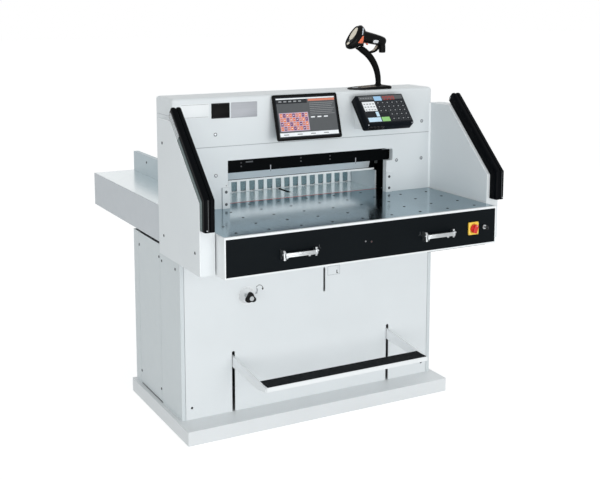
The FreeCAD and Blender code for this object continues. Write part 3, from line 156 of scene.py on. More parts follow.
LOOKS = {
    # The record's material slots
    "light_paint": surface("powder_light", (0.745, 0.775, 0.790), **POWDER),
    # Painted shade: the sides' paint is a darker copy of the light paint, for faces that get less
    # light.
    "cool_grey_paint": surface("powder_cool_painted_shade", (0.640, 0.685, 0.700), **POWDER),
    "white_paint": surface("powder_white", (0.83, 0.85, 0.86), **POWDER),
    "black_paint": surface("powder_black", (0.0035, 0.0055, 0.007), 0.45, edge=1.0 * mm,
                           mottle=0.1, specular=0.05),
    "dark_grey_paint": surface("paint_dark_grey", (0.12, 0.13, 0.14), 0.5, edge=1.5 * mm),
    "frame_paint": surface("paint_frame", (0.35, 0.37, 0.38), 0.5, edge=1.5 * mm, mottle=0.06),
    "table_chrome": surface("table_plate", (0.26, 0.37, 0.43), 0.14, metal=1.0, mottle=0.07,
                            mottle_scale=7.0, grain=260.0, depth=0.00003,
                            stretch=(1.0, 0.25, 1.0), edge=0.8 * mm),
    "rear_plate": surface("rear_plate", (0.80, 0.86, 0.88), 0.22, metal=0.7, mottle=0.02,
                          grain=260.0, depth=0.000005, edge=0.8 * mm, specular=0.6),
    "ground_steel": surface("steel_ground", (0.58, 0.61, 0.63), 0.28, metal=1.0, mottle=0.08,
                            grain=420.0, depth=0.00004, stretch=ALONG, edge=0.6 * mm),
    "bright_steel": surface("steel_bright", (0.52, 0.54, 0.55), 0.32, metal=1.0, mottle=0.05,
                            edge=0.5 * mm),
    "fin_white": surface("moulded_white", (0.90, 0.95, 0.97), 0.4, edge=0.8 * mm),
    "stick_red": surface("moulded_red", (0.52, 0.035, 0.03), 0.5, mottle=0.1),
    "black_plastic": surface("moulded_black", (0.006, 0.006, 0.006), 0.48, mottle=0.15,
                             grain=1400.0, depth=0.0002, edge=1.0 * mm, specular=0.12),
    "gloss_black": surface("gloss_black", (0.004, 0.004, 0.004), 0.22, mottle=0.1,
                           edge=1.0 * mm, specular=0.08),
    "rubber_black": surface("ribbed_rubber", (0.012, 0.014, 0.016), 0.7, mottle=0.2,
                            grain=1600.0, depth=0.0003, specular=0.1),
    "yellow": surface("plastic_yellow", (0.93, 0.60, 0.06), 0.35, edge=0.8 * mm),
    "red": surface("plastic_red", (0.62, 0.012, 0.010), 0.3, edge=0.8 * mm),
    "orange": surface("plastic_orange", (0.86, 0.17, 0.07), 0.4, edge=0.6 * mm),
    # Painted light: the dish's paint is lighter than the panel's, to offset the shade in its
    # hollow.
    "dial_grey": surface("dish_paint_lightened", (0.84, 0.86, 0.87), **POWDER),
    "display": surface("display_glass", (0.014, 0.016, 0.020), 0.12, mottle=0.05, specular=0.08),
    "window_amber": surface("window_cream", (0.80, 0.71, 0.56), 0.18, mottle=0.08,
                            mottle_scale=40.0, coat=0.5),
    "curtain_black": surface("anodised_black", (0.0012, 0.0018, 0.0028), 0.32, mottle=0.1,
                             stretch=(1, 1, 0.1), edge=1.0 * mm, specular=0.04),
    "panel_grey": surface("case_black", (0.006, 0.008, 0.011), 0.36, mottle=0.1, edge=1.0 * mm,
                          specular=0.05),
    # Looks of small details and of single nodes
    # Painted shade: the dark strip on each curtain's outer side, beside the black profile.
    "lens": surface("curtain_side_shade_strip", (0.10, 0.14, 0.14), 0.25, mottle=0.12, mottle_scale=30.0,
                    specular=0.2),
    "lens_speckled": surface("lens_speckled", (0.48, 0.50, 0.51), 0.4, mottle=0.5,
                             mottle_scale=160.0, specular=0.3),
    # Black of the knife and clamp beams, and also painted shade on the plates in the window's gaps.
    "beam_black_and_shade": surface("beam_black_and_shade", (0.0008, 0.0015, 0.002), 0.4, mottle=0.1, edge=1.0 * mm,
                          specular=0.03),
    "base_paint": surface("powder_base", (0.76, 0.78, 0.79), **POWDER),
    # Painted shade: a darker, bluer copy of the light paint for the side guides.
    "guide_shaded_paint": surface("powder_guide_painted_shade", (0.50, 0.58, 0.62), **{**POWDER, "edge": 1.0 * mm}),
    # Painted shade: a darker copy of the light paint for the rear table box.
    "rear_shaded_paint": surface("powder_rear_painted_shade", (0.57, 0.60, 0.63), **POWDER),
    "stand_black": surface("stand_black", (0.005, 0.005, 0.005), 0.5, mottle=0.1, edge=0.8 * mm,
                           specular=0.04),
    "screw_dark": surface("screw_dark", (0.10, 0.11, 0.12), 0.4, metal=0.8, mottle=0.08),
    # Painted shade: the dark ring round screw heads.
    "screw_shade_ring": surface("screw_shade_ring", (0.030, 0.032, 0.035), 0.6),
    # Painted shade: the dark, speckled panels between the fence's fins.
    "fence_gap_shade": surface("fence_gap_shade", (0.17, 0.26, 0.29), 0.3, mottle=0.35,
                           mottle_scale=220.0, specular=0.4),
    "blade": surface("blade_honed", (0.86, 0.88, 0.90), 0.34, metal=0.55, mottle=0.04,
                     mottle_scale=3.5, grain=420.0, depth=0.000004, stretch=(1, 1, 6.0),
                     lines=ALONG),
    "screw_steel": surface("screw_zinc", (0.50, 0.52, 0.54), 0.35, metal=1.0, mottle=0.08),
    # Near-white: the clamp plate's own white, and a painted highlight on the head's edge strips,
    # the wings' rims and the guide jambs.
    "white_and_highlight": surface("white_and_highlight", (0.93, 0.96, 0.97), 0.4, mottle=0.02),
    "beige": surface("loop_beige", (0.50, 0.42, 0.33), 0.45, mottle=0.08),
    "curtain_line": surface("curtain_line", (0.10, 0.105, 0.11), 0.4, mottle=0.08),
    "faint_mark": surface("faint_mark", (0.10, 0.105, 0.11), 0.5, specular=0.2),
    # Bright ends of the trigger bars, and a painted highlight along the tablet case's top edge.
    "silver_and_highlight": surface("case_edge_and_highlight", (0.50, 0.52, 0.54), 0.3, metal=0.8),
    # Painted highlight: a light band on the scanner hood's sides.
    "hood_highlight": surface("hood_painted_highlight", (0.55, 0.62, 0.68), 0.3, metal=0.3, mottle=0.05),
    "fine_line": surface("fine_line", (0.34, 0.36, 0.38), 0.6),
    "print_black": surface("print_black", (0.012, 0.012, 0.012), 0.5, specular=0.3),
    "print_white": surface("print_white", (0.75, 0.76, 0.77), 0.5),
    "plate_white": surface("plate_white", (0.84, 0.86, 0.87), 0.35, edge=0.4 * mm),
    "plate_black": surface("plate_black", (0.003, 0.003, 0.003), 0.4, edge=0.4 * mm,
                           specular=0.06),
    "plate_silver": surface("plate_silver", (0.38, 0.39, 0.42), 0.5, metal=0.2, mottle=0.04,
                            stretch=(1, 40, 40), grain=300.0, edge=0.4 * mm),
    # Dark for screw sockets, and also painted shade in gaps and under edges.
    "socket_dark_and_shade": surface("socket_dark_and_shade", (0.05, 0.05, 0.055), 0.5, metal=0.6),
    "lamp_red": surface("lamp_red", (0.09, 0.03, 0.03), 0.2, specular=0.4),
    "lamp_clear": surface("lamp_clear", (0.50, 0.52, 0.53), 0.2, specular=0.4),
    "lamp_dim": surface("lamp_dim", (0.24, 0.25, 0.26), 0.3, specular=0.3),
    "key_dark": surface("key_dark", (0.035, 0.037, 0.04), 0.4, specular=0.3),
}
for tone, shade in {
        "white": (0.80, 0.82, 0.84), "dark": (0.030, 0.032, 0.035), "grey": (0.10, 0.105, 0.11),
        "pale_grey": (0.30, 0.31, 0.32), "blue": (0.33, 0.55, 0.78),
        "pale_blue": (0.55, 0.72, 0.85), "green": (0.28, 0.56, 0.20), "red": (0.52, 0.05, 0.04),
        "orange": (0.75, 0.19, 0.05), "salmon": (0.62, 0.21, 0.14),
        "violet": (0.16, 0.035, 0.13), "key": (0.016, 0.018, 0.022),
        "lilac": (0.55, 0.42, 0.52)}.items():
    LOOKS["screen_" + tone] = surface("screen_" + tone, shade, 0.25, mottle_scale=60.0,
                                      specular=0.1, emit=0.12)


def dress_nodes():
    """Gives each node the look of its material slot, and a few their own."""
    # The side guides and the rear table box take darker copies of the light paint, which is painted
    # shade.
    own = {"knife_blade": "blade", "clamp_plate": "white_and_highlight", "knife_beam": "beam_black_and_shade",
           "clamp_beam": "beam_black_and_shade", "base_plinth": "base_paint",
           "side_guides": "guide_shaded_paint", "rear_table_box": "rear_shaded_paint"}
    slots = {part["node"]: part["material_slot"] for part in frame["record"]["subparts"]}
    for node, obj in frame["nodes"].items():
        obj.data.materials.clear()
        obj.data.materials.append(LOOKS[own.get(node, slots[node])])


# Shapes in mesh code

CREASE = radians(35.0)
SOCKET_SHARE = 0.45
NO_RADIUS = 1e-7


def in_mm(*points):
    """Points given in millimetres, in metres."""
    return [tuple(c * mm for c in point) for point in points]


def off(x, y, z):
    """A step given in millimetres."""
    return Vector((x * mm, y * mm, z * mm))


def circle(count):
    return [2.0 * pi * step / count for step in range(count)]


def ring_of(count, first, second):
    """Unit vectors all the way round, from first towards second."""
    return [first * cos(angle) + second * sin(angle) for angle in circle(count)]


def face_middle(low, high, y):
    return Vector(((low.x + high.x) / 2.0, y, (low.z + high.z) / 2.0))


def back_of(node):
    """The middle of a round node's back face, and its radius."""
    low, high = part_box(node)
    return face_middle(low, high, high.y), (high.x - low.x) / 2.0


def show(obj):
    bpy.context.scene.collection.objects.link(obj)
    return obj


def round_edges(part, edges, corner, steps):
    if corner:
        bmesh.ops.bevel(part, geom=edges, offset=corner, segments=steps, profile=0.5,
                        affect="EDGES")


class Shape:
    """Closed shapes gathered in one mesh. Each takes the number of its material."""

    def __init__(self):
        self.mesh = bmesh.new()

    def take(self, part, paint=0):
        for face in part.faces:
            face.material_index = paint
        scratch = bpy.data.meshes.new("scratch")
        part.to_mesh(scratch)
        part.free()
        self.mesh.from_mesh(scratch)
        bpy.data.meshes.remove(scratch)

    def take_outward(self, part, paint):
        bmesh.ops.recalc_face_normals(part, faces=part.faces[:])
        self.take(part, paint)

    def block(self, low, high, corner=0.0, paint=0, steps=2):
        """A block between two corners, its edges rounded by corner."""
        part = bmesh.new()
        bmesh.ops.create_cube(part, size=1.0)
        low, high = Vector(low), Vector(high)
        middle, size = (low + high) / 2.0, high - low
        for vert in part.verts:
            vert.co = Vector(vert.co[i] * size[i] + middle[i] for i in range(3))
        round_edges(part, part.edges[:], corner, steps)
        self.take(part, paint)

    def side_block(self, side, xs, ys, zs, corner=0.0, steps=2):
        """A block on one side of the middle, its xs given as distances from the middle."""
        x0, x1 = sorted((side * xs[0], side * xs[1]))
        self.block((x0, ys[0], zs[0]), (x1, ys[1], zs[1]), corner, steps=steps)

    def prism(self, outline, origin, across, up, deep, corner=0.0, paint=0, steps=2):
        """An outline in the plane of across and up, drawn out along deep."""
        part = bmesh.new()
        base = [part.verts.new(Vector(origin) + across * u + up * v) for u, v in outline]
        far = [part.verts.new(vert.co + deep) for vert in base]
        part.faces.new(base)
        part.faces.new(list(reversed(far)))
        count = len(base)
        for i in range(count):
            j = (i + 1) % count
            part.faces.new((base[j], base[i], far[i], far[j]))
        bmesh.ops.recalc_face_normals(part, faces=part.faces[:])
        rims = [edge for edge in part.edges
                if abs((edge.verts[0].co - edge.verts[1].co).normalized().dot(
                    deep.normalized())) < 0.5]
        round_edges(part, rims, corner, steps)
        self.take(part, paint)

    def lathe(self, profile, origin, axis, steps=24, paint=0, six=()):
        """A profile of (radius, height) turned about axis. Rows listed in six are hexagons."""
        axis = Vector(axis).normalized()
        side = axis.orthogonal().normalized()
        ways = ring_of(steps, side, axis.cross(side))
        part = bmesh.new()
        rows = []
        for row, (radius, height) in enumerate(profile):
            centre = Vector(origin) + axis * height
            if radius < NO_RADIUS:
                rows.append([part.verts.new(centre)])
                continue
            ring = []
            for angle, way in zip(circle(steps), ways):
                reach = radius
                if row in six:
                    reach = radius / cos(((angle + pi / 6) % (pi / 3)) - pi / 6)
                ring.append(part.verts.new(centre + way * reach))
            rows.append(ring)
        for first, second in zip(rows, rows[1:]):
            for step in range(steps):
                after = (step + 1) % steps
                if len(first) == 1:
                    part.faces.new((first[0], second[step], second[after]))
                elif len(second) == 1:
                    part.faces.new((first[after], first[step], second[0]))
                else:
                    part.faces.new((first[after], first[step], second[step], second[after]))
        if len(rows[0]) > 1:
            part.faces.new(rows[0])
        if len(rows[-1]) > 1:
            part.faces.new(list(reversed(rows[-1])))
        self.take_outward(part, paint)

    def loft(self, rings, paint=0, closed_path=False):
        """Rings with the same number of points, joined in order, and capped or closed."""
        part = bmesh.new()
        rows = [[part.verts.new(point) for point in ring] for ring in rings]
        count = len(rows[0])
        pairs = list(zip(rows, rows[1:]))
        if closed_path:
            pairs.append((rows[-1], rows[0]))
        for first, second in pairs:
            for i in range(count):
                j = (i + 1) % count
                part.faces.new((first[i], first[j], second[j], second[i]))
        if not closed_path:
            part.faces.new(list(reversed(rows[0])))
            part.faces.new(rows[-1])
        self.take_outward(part, paint)

    def tube(self, path, radius, steps=16, paint=0):
        """A round tube along points."""
        rings = []
        side = None
        for i, spot in enumerate(path):
            ahead = path[min(i + 1, len(path) - 1)] - path[max(i - 1, 0)]
            ahead.normalize()
            side = ahead.orthogonal().normalized() if side is None else (
                side - ahead * side.dot(ahead)).normalized()
            rings.append([spot + way * radius for way in ring_of(steps, side, ahead.cross(side))])
        self.loft(rings, paint)

    def piece(self, name, body, slot, paints, *replaces):
        mesh = bpy.data.meshes.new(name)
        self.mesh.to_mesh(mesh)
        self.mesh.free()
        for face in mesh.polygons:
            face.use_smooth = True
        mesh.set_sharp_from_angle(angle=CREASE)
        obj = show(bpy.data.objects.new(name, mesh))
        for paint in paints:
            mesh.materials.append(LOOKS[paint])
        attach(obj, body)
        if replaces:
            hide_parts(*replaces)


def rounded(width, height, radius, steps=6, x0=0.0, y0=0.0):
    """The outline of a rectangle with round corners, from its lower left corner."""
    corners = ((width - radius, height - radius, 0.0), (radius, height - radius, 90.0),
               (radius, radius, 180.0), (width - radius, radius, 270.0))
    outline = []
    for cx, cy, start in corners:
        for step in range(steps + 1):
            angle = radians(start + 90.0 * step / steps)
            outline.append((x0 + cx + radius * cos(angle), y0 + cy + radius * sin(angle)))
    return outline


def islands(node):
    """The boxes of the separate solids in a node."""
    mesh = bmesh.new()
    mesh.from_mesh(frame["nodes"][node].data)
    bmesh.ops.remove_doubles(mesh, verts=mesh.verts[:], dist=1e-6)
    left = set(mesh.verts)
    boxes = []
    while left:
        todo = [left.pop()]
        seen = list(todo)
        while todo:
            vert = todo.pop()
            for edge in vert.link_edges:
                other = edge.other_vert(vert)
                if other in left:
                    left.remove(other)
                    todo.append(other)
                    seen.append(other)
        boxes.append([Vector(pick(v.co[i] for v in seen) for i in range(3))
                      for pick in (min, max)])
    mesh.free()
    return sorted(boxes, key=lambda box: tuple(round(c, 4) for c in box[0]))


def button_head(shape, base, outward, radius, height, steel=0, dark=1):
    """A round screw head with a hexagon socket."""
    socket = radius * SOCKET_SHARE
    shape.lathe([(radius, 0.0), (radius, height * 0.3), (radius * 0.80, height * 0.35)], base,
                outward, paint=dark)
    shape.lathe([(radius * 0.76, 0.0), (radius * 0.76, height * 0.55),
                 (radius * 0.66, height * 0.85), (socket, height), (socket * 0.95, height * 0.8)],
                base, outward, paint=steel)
    shape.lathe([(socket, height * 0.7), (socket, height * 0.99), (socket * 0.8, height * 0.75),
                 (0.0, height * 0.72)], base, outward, paint=dark, six=(0, 1, 2))


# Small fasteners and the nozzles of the table

GUIDE_BLOCK_TOP = 0.98


def cover_screws():
    """Zinc heads on the head's front, darker ones on the guide blocks and on the sides."""
    shape = Shape()
    for low, high in islands("cover_screws"):
        size = high - low
        axis = min(range(3), key=lambda i: size[i])
        middle = (low + high) / 2.0
        outward = Vector((0, 0, 0))
        outward[axis] = copysign(1.0, middle[axis])
        share, paint = 0.78, 0
        if axis == 0:
            share, paint = 0.62, 2
        elif middle.z < GUIDE_BLOCK_TOP:
            share, paint = 0.64, 2
        # The dark ring at each head's foot is painted shade.
        button_head(shape, middle - outward * size[axis] / 2.0, outward, max(size) * share,
                    size[axis], paint, 3)
    shape.piece("cover_screw_heads", "machine", "bright_steel",
                ["screw_steel", "socket_dark_and_shade", "screw_dark", "screw_shade_ring"], "cover_screws")


def air_nozzles():
    ball, collar = 2.4 * mm, 1.2 * mm
    shape = Shape()
    for low, high in islands("air_nozzles"):
        middle = (low + high) / 2.0
        base = Vector((middle.x, middle.y, low.z))
        radius = (high.x - low.x) / 2.0
        flat = high.z - low.z - collar
        shape.lathe([(radius * 1.3, flat - 1.0 * mm), (radius * 1.3, flat),
                     (radius * 1.1, flat + 0.6 * mm), (radius * 0.70, flat + 0.2 * mm)],
                    base, UP, 20, 1)
        shape.lathe([(radius * 0.62 * sin(radians(a)),
                      flat - collar + ball * (1.0 - cos(radians(180 - a))) / 2.0)
                     for a in range(90, 181, 15)], base, UP, 16)
    shape.piece("air_nozzle_balls", "machine", "bright_steel", ["bright_steel", "stand_black"],
                "air_nozzles")


# Pressure dial on the front panel

DIAL = Vector((-0.304, 0.0, 0.527))
KNOB_FRONT, KNOB_BACK = -0.268, -0.246
KNOB_RADIUS, KNOB_LOBE = 0.0195, 0.0040
MARK_CENTRE = (-0.2475, 0.548)
STACK_CORNER = (-0.2700, 0.5290)
MARK_RADIUS = 15.0  # in millimetres


def dial_cup():
    low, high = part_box("knob_dial_cup")
    radius = (high.x - low.x) / 2.0
    deep = high.y - low.y
    origin = Vector((DIAL.x, high.y, DIAL.z))
    shape = Shape()
    profile = [(radius - 3.5 * mm, 0.0), (radius - 2.0 * mm, 14.5 * mm), (radius, 16.0 * mm),
               (radius, 17.0 * mm), (radius - 0.8 * mm, deep),
               (radius - 1.8 * mm, deep - 0.2 * mm), (radius - 4.0 * mm, deep - 2.0 * mm)]
    for step in range(7):
        angle = radians(90.0 * step / 6.0)
        profile.append((14.0 * mm + 16.0 * mm * cos(angle),
                        deep - 2.5 * mm - 6.5 * mm * sin(angle)))
    profile += [(reach * mm, deep - down * mm) for reach, down in
                ((11.0, 9.0), (10.0, 8.0), (7.0, 7.5), (6.3, 7.5), (6.3, 16.0), (0.0, 16.0))]
    shape.lathe(profile, origin, FRONT, 48)
    shape.loft([[origin + FRONT * height * mm + (radius + out * mm) * way
                 for way in ring_of(48, ACROSS, UP)]
                for out, height in ((0.4, 14.6), (0.4, 15.4), (-1.0, 15.4), (-1.0, 14.6))],
               2, True)
    for step in range(11):
        angle = radians(-125.0 + 25.0 * step)
        across = Vector((sin(angle), 0, cos(angle)))
        root = origin + FRONT * (deep - 2.2 * mm) + across * (radius - 5.2 * mm)
        shape.tube([root - across * 1.2 * mm, root + across * 1.2 * mm], 0.35 * mm, 6, 1)
    shape.piece("dial_dish", "machine", "dial_grey", ["dial_grey", "print_black", "fine_line"],
                "knob_dial_cup")


def pressure_knob():
    shape = Shape()
    rings = []
    for y, share in ((KNOB_BACK, 0.80), (KNOB_BACK - 1.5 * mm, 0.93), (KNOB_BACK - 5.0 * mm, 1.0),
                     (KNOB_FRONT + 7.0 * mm, 1.0), (KNOB_FRONT + 3.0 * mm, 0.95),
                     (KNOB_FRONT + 1.0 * mm, 0.85), (KNOB_FRONT, 0.70), (KNOB_FRONT, 0.42)):
        ring = []
        for angle in circle(72):
            reach = (KNOB_RADIUS + KNOB_LOBE * cos(3.0 * (angle - pi / 2.0))) * share
            ring.append(Vector((DIAL.x + reach * cos(angle), y, DIAL.z + reach * sin(angle))))
        rings.append(ring)
    shape.loft(rings)
    origin = Vector((DIAL.x, 0, DIAL.z))
    shape.lathe([(9.2 * mm, 0.267), (9.2 * mm, 0.2685), (8.6 * mm, 0.2690), (0.0, 0.2690)],
                origin, FRONT, 32, 1)
    shape.lathe([(9.0 * mm, 0.240), (9.0 * mm, 0.2465)], origin, FRONT)
    shape.lathe([(5.95 * mm, 0.2055), (5.95 * mm, 0.2410)], origin, FRONT, 24, 2)
    shape.piece("dial_knob", "pressure_knob", "black_plastic",
                ["black_plastic", "lamp_clear", "bright_steel"], "pressure_knob")


def dial_mark():
    """A bent arrow beside the dial that shows which way to turn, and a small stack by it."""
    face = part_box("front_panel")[0].y
    shape = Shape()
    centre = Vector((MARK_CENTRE[0], face - 0.02 * mm, MARK_CENTRE[1]))
    for start in (150, 112, 74, 36):
        angles = [radians(start - 30.0 * step / 4.0) for step in range(5)]
        shape.tube([centre + Vector((cos(angle), 0, sin(angle))) * MARK_RADIUS * mm
                    for angle in angles], 1.3 * mm, 6)
    shape.prism(in_mm((-5.0, 4.0), (5.0, 4.0), (0.0, -5.5)), centre + off(MARK_RADIUS, 0, -3.0),
                ACROSS, UP, FRONT * 0.3 * mm)
    stack = Vector((STACK_CORNER[0], face, STACK_CORNER[1]))
    for across, up, width, tall in ((0, 0, 14, 4), (7, 4, 7, 4), (10, 8, 6, 12), (9, 20, 4, 3)):
        shape.block(stack + off(across, -0.3, up), stack + off(across + width, 0.02, up + tall),
                    0.1 * mm, 1)
    shape.piece("dial_turn_mark", "machine", "black_plastic", ["print_black", "fine_line"])


# Main switch and key

HANDLE_LEAN = radians(18.0)


def main_switch():
    low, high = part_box("switch_plate")
    shape = Shape()
    shape.prism(rounded(48.0 * mm, 50.0 * mm, 3.0 * mm),
                (low.x + 2.5 * mm, high.y, low.z + 1.5 * mm), ACROSS, UP,
                FRONT * (high.y - low.y), 0.8 * mm)
    middle = face_middle(low, high, low.y)
    for radius in (19.5 * mm, 21.0 * mm):
        shape.lathe([(radius + 0.8 * mm, -0.1 * mm), (radius + 0.8 * mm, 0.25 * mm),
                     (radius, 0.25 * mm), (radius, -0.1 * mm)], middle, FRONT, 40)
    for angle in (0.0, 90.0):
        reach = Vector((sin(radians(angle)), 0, cos(radians(angle))))
        shape.prism(in_mm((-1.0, -1.4), (1.0, -1.4), (0.0, 1.6)),
                    middle + reach * 22.0 * mm - FRONT * 0.05 * mm, reach.cross(FRONT), reach,
                    FRONT * 0.25 * mm, paint=1)
    for dx in (-1.0, 1.0):
        for dz in (-1.0, 1.0):
            button_head(shape, middle + off(dx * 20.5, 0, dz * 21.5), FRONT, 1.8 * mm, 0.7 * mm,
                        2, 1)
    shape.piece("switch_face", "machine", "yellow", ["yellow", "print_black", "bright_steel"],
                "switch_plate")
    middle, radius = back_of("switch_knob")
    shape = Shape()
    shape.lathe(in_mm((4.0, 0.5), (4.0, 6.0)), middle, FRONT, 16)
    shape.lathe([(radius, 6.0 * mm), (radius, 12.0 * mm), (radius - 1.2 * mm, 13.6 * mm),
                 (0.0, 13.9 * mm)], middle, FRONT, 40)
    along = Vector((sin(HANDLE_LEAN), 0, cos(HANDLE_LEAN)))
    aside = along.cross(FRONT)
    shape.prism(in_mm((-15.0, -9.0), (13.0, -9.0), (17.0, -5.5), (17.0, 5.5), (13.0, 9.0),
                      (-15.0, 9.0), (-17.0, 6.5), (-17.0, -6.5)), middle + FRONT * 12.0 * mm,
                along, aside, FRONT * 10.0 * mm, 1.6 * mm, steps=3)
    shape.prism(in_mm((9.0, -0.8), (15.5, -0.8), (15.5, 0.8), (9.0, 0.8)),
                middle + FRONT * 21.9 * mm, along, aside, FRONT * 0.15 * mm, paint=1)
    shape.piece("switch_handle", "main_switch", "red", ["red", "print_white"], "switch_knob")


def key_and_lock():
    middle, radius = back_of("key_lock")
    shape = Shape()
    shape.lathe([(radius, 0.0), (radius, 4.2 * mm), (radius - 1.2 * mm, 5.9 * mm),
                 (radius - 2.4 * mm, 5.9 * mm), (radius - 3.0 * mm, 5.2 * mm),
                 (3.2 * mm, 5.2 * mm)], middle, FRONT, 32)
    shape.lathe(in_mm((3.4, 4.6), (3.4, 5.4), (2.9, 5.6)), middle, FRONT, 20, 1)
    shape.block(middle + off(13.0, 0.0, -4.0), middle + off(20.0, -0.3, -2.6), 0.0, 2)
    shape.piece("lock_barrel", "machine", "bright_steel",
                ["bright_steel", "socket_dark_and_shade", "lamp_dim"], "key_lock")
    middle = back_of("key")[0]
    shape = Shape()
    shape.lathe(in_mm((2.9, 0.2), (2.9, 10.0), (2.4, 11.0)), middle, FRONT, 16)
    centre = middle + FRONT * 19.0 * mm
    shape.loft([[centre + ACROSS * x * mm + way * (reach * mm) for way in ring_of(32, FRONT, UP)]
                for x, reach in ((-1.2, 8.6), (-0.9, 8.9), (0.9, 8.9), (1.2, 8.6), (1.2, 3.2),
                                 (-1.2, 3.2))], closed_path=True)
    shape.block(middle + off(-1.1, -12.0, -2.2), middle + off(1.1, -9.0, 2.2), 0.3 * mm)
    shape.piece("key_blank", "key", "bright_steel", ["key_dark"], "key")


# Trigger bars

TRIGGER_PIN_HEIGHT = 0.803
EAR_LOW, EAR_TOP = 0.7915, 0.8085
EAR_SCREW, EAR_FOOT = 0.8080, 0.7920


def triggers():
    for name in ("left", "right"):
        low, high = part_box("trigger_bar_" + name)
        pin_y = (low.y + high.y) / 2.0
        shape = Shape()
        shape.block((low.x + 3.0 * mm, low.y + 0.8 * mm, low.z),
                    (high.x - 3.0 * mm, high.y, high.z), 2.0 * mm)
        tall = (high.z - low.z) / 3.0
        for row in range(3):
            z = low.z + tall * row
            shape.block((low.x + 8.0 * mm, low.y, z + 0.5 * mm),
                        (high.x - 8.0 * mm, low.y + 2.0 * mm, z + tall - 0.5 * mm), 0.9 * mm)
        for x in (low.x + 5.0 * mm, high.x - 5.0 * mm):
            shape.block((x - 3.5 * mm, low.y, low.z - 1.0 * mm),
                        (x + 3.5 * mm, high.y - 1.0 * mm, high.z + 1.0 * mm), 1.2 * mm, 1)
        for x in (low.x, high.x):
            shape.lathe(in_mm((2.9, -5.5), (2.9, 5.5)), Vector((x, pin_y, TRIGGER_PIN_HEIGHT)),
                        ACROSS, 16)
        for x in (low.x + 13.0 * mm, high.x - 32.0 * mm):
            shape.lathe(in_mm((5.5, -1.0), (5.5, 2.0), (4.0, 5.5), (2.0, 6.6), (0.0, 6.8)),
                        Vector((x, pin_y, low.z + 1.0 * mm)), -UP, 16)
        shape.piece("trigger_grip_" + name, name + "_trigger", "bright_steel",
                    ["bright_steel", "silver_and_highlight"], "trigger_bar_" + name)


def trigger_brackets():
    """Each bar's left ear is tall. Its right ear is low, with a screw on top and a foot."""
    shape = Shape()
    for number, (low, high) in enumerate(islands("trigger_brackets")):
        if number % 2 == 0:
            deep, tall = high.y - low.y, high.z - low.z
            shape.prism([(0.0, 0.0), (deep, 0.0), (deep, tall), (7.0 * mm, tall),
                         (0.0, tall - 7.0 * mm)], low, BACK, UP, ACROSS * (high.x - low.x),
                        0.8 * mm)
            for z in (high.z - 6.0 * mm, low.z + 6.0 * mm):
                for way, face in ((LEFT, low.x), (RIGHT, high.x)):
                    button_head(shape, Vector((face, high.y - 8.0 * mm, z)), ACROSS * way,
                                1.7 * mm, 0.9 * mm)
            continue
        shape.block((low.x, low.y + 4.0 * mm, EAR_LOW), (high.x, high.y, EAR_TOP), 0.8 * mm)
        x, y = (low.x + high.x) / 2.0, low.y + 11.0 * mm
        shape.lathe(in_mm((3.4, 0.0), (3.4, 2.2), (5.0, 2.6), (5.0, 6.2), (3.8, 7.6), (0.0, 7.8)),
                    Vector((x, y, EAR_SCREW)), UP, 20)
        shape.lathe(in_mm((4.4, 0.0), (4.4, 6.0), (3.0, 9.0), (0.0, 9.4)),
                    Vector((x, y, EAR_FOOT)), -UP, 16)
    shape.piece("trigger_ears", "machine", "bright_steel", ["bright_steel", "socket_dark_and_shade"],
                "trigger_brackets")


def fascia_details():
    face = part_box("front_fascia")[0].y
    shape = Shape()
    for x, z, paint in ((-0.019, 0.807, 0), (0.007, 0.803, 1)):
        origin = Vector((x, face, z))
        shape.lathe(in_mm((4.0, -0.2), (4.0, 0.8), (3.0, 1.3), (3.0, 1.0)), origin, FRONT, 20, 2)
        shape.lathe(in_mm((2.8, 0.6), (2.6, 1.5), (1.5, 2.3), (0.0, 2.5)), origin, FRONT, 20,
                    paint)
    shape.piece("fascia_lamps", "machine", "bright_steel", ["lamp_dim", "lamp_red", "socket_dark_and_shade"])
    shape = Shape()
    for x, z in ((-0.215, 0.808), (0.225, 0.807)):
        middle = Vector((x, face, z))
        shape.block(middle + off(-0.8, -0.2, 0.0), middle + off(0.8, 0.0, 8.5))
        for way in (LEFT, RIGHT):
            shape.prism(in_mm((0.0, 0.0), (way * 7.0, -6.5), (way * 7.0, -5.0), (0.0, 1.6)),
                        middle, ACROSS, UP, FRONT * 0.2 * mm)
    shape.piece("trigger_marks", "machine", "black_paint", ["faint_mark"])


# Head: seam, plates and knife window

PLATE_THICK = 0.8 * mm


def flat_plate(name, x0, x1, z0, z1, face, slot, paint, rim):
    """A thin plate with a line along its upper and its lower edge."""
    border, line, front = 2.5 * mm, 0.8 * mm, face - PLATE_THICK
    shape = Shape()
    shape.prism(rounded(x1 - x0, z1 - z0, 2.0 * mm), (x0, face + 0.02 * mm, z0), ACROSS, UP,
                FRONT * PLATE_THICK, 0.3 * mm)
    for low, high in ((z0 + border, z0 + border + line), (z1 - border - line, z1 - border)):
        shape.block((x0 + border, front - 0.15 * mm, low),
                    (x1 - border, front + 0.05 * mm, high), 0.0, 1)
    shape.piece(name, "machine", slot, [paint, rim])


def head_details():
    low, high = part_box("head_cover")
    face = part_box("head_front_lower")[0].y
    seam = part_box("head_front_lower")[1].z
    shape = Shape()
    shape.block((low.x + 2.0 * mm, face - 0.05 * mm, seam - 1.1 * mm),
                (high.x - 2.0 * mm, face + 2.0 * mm, seam + 1.3 * mm))
    shape.piece("head_seam", "machine", "light_paint", ["fine_line"])
    flat_plate("head_plate_left", -0.560, -0.444, 1.2435, 1.298, face, "white_paint",
               "plate_white", "faint_mark")
    flat_plate("head_plate_middle", -0.434, -0.357, 1.238, 1.297, face, "gloss_black",
               "plate_black", "socket_dark_and_shade")
    flat_plate("head_plate_right", -0.351, -0.239, 1.237, 1.297, face, "bright_steel",
               "plate_silver", "fine_line")


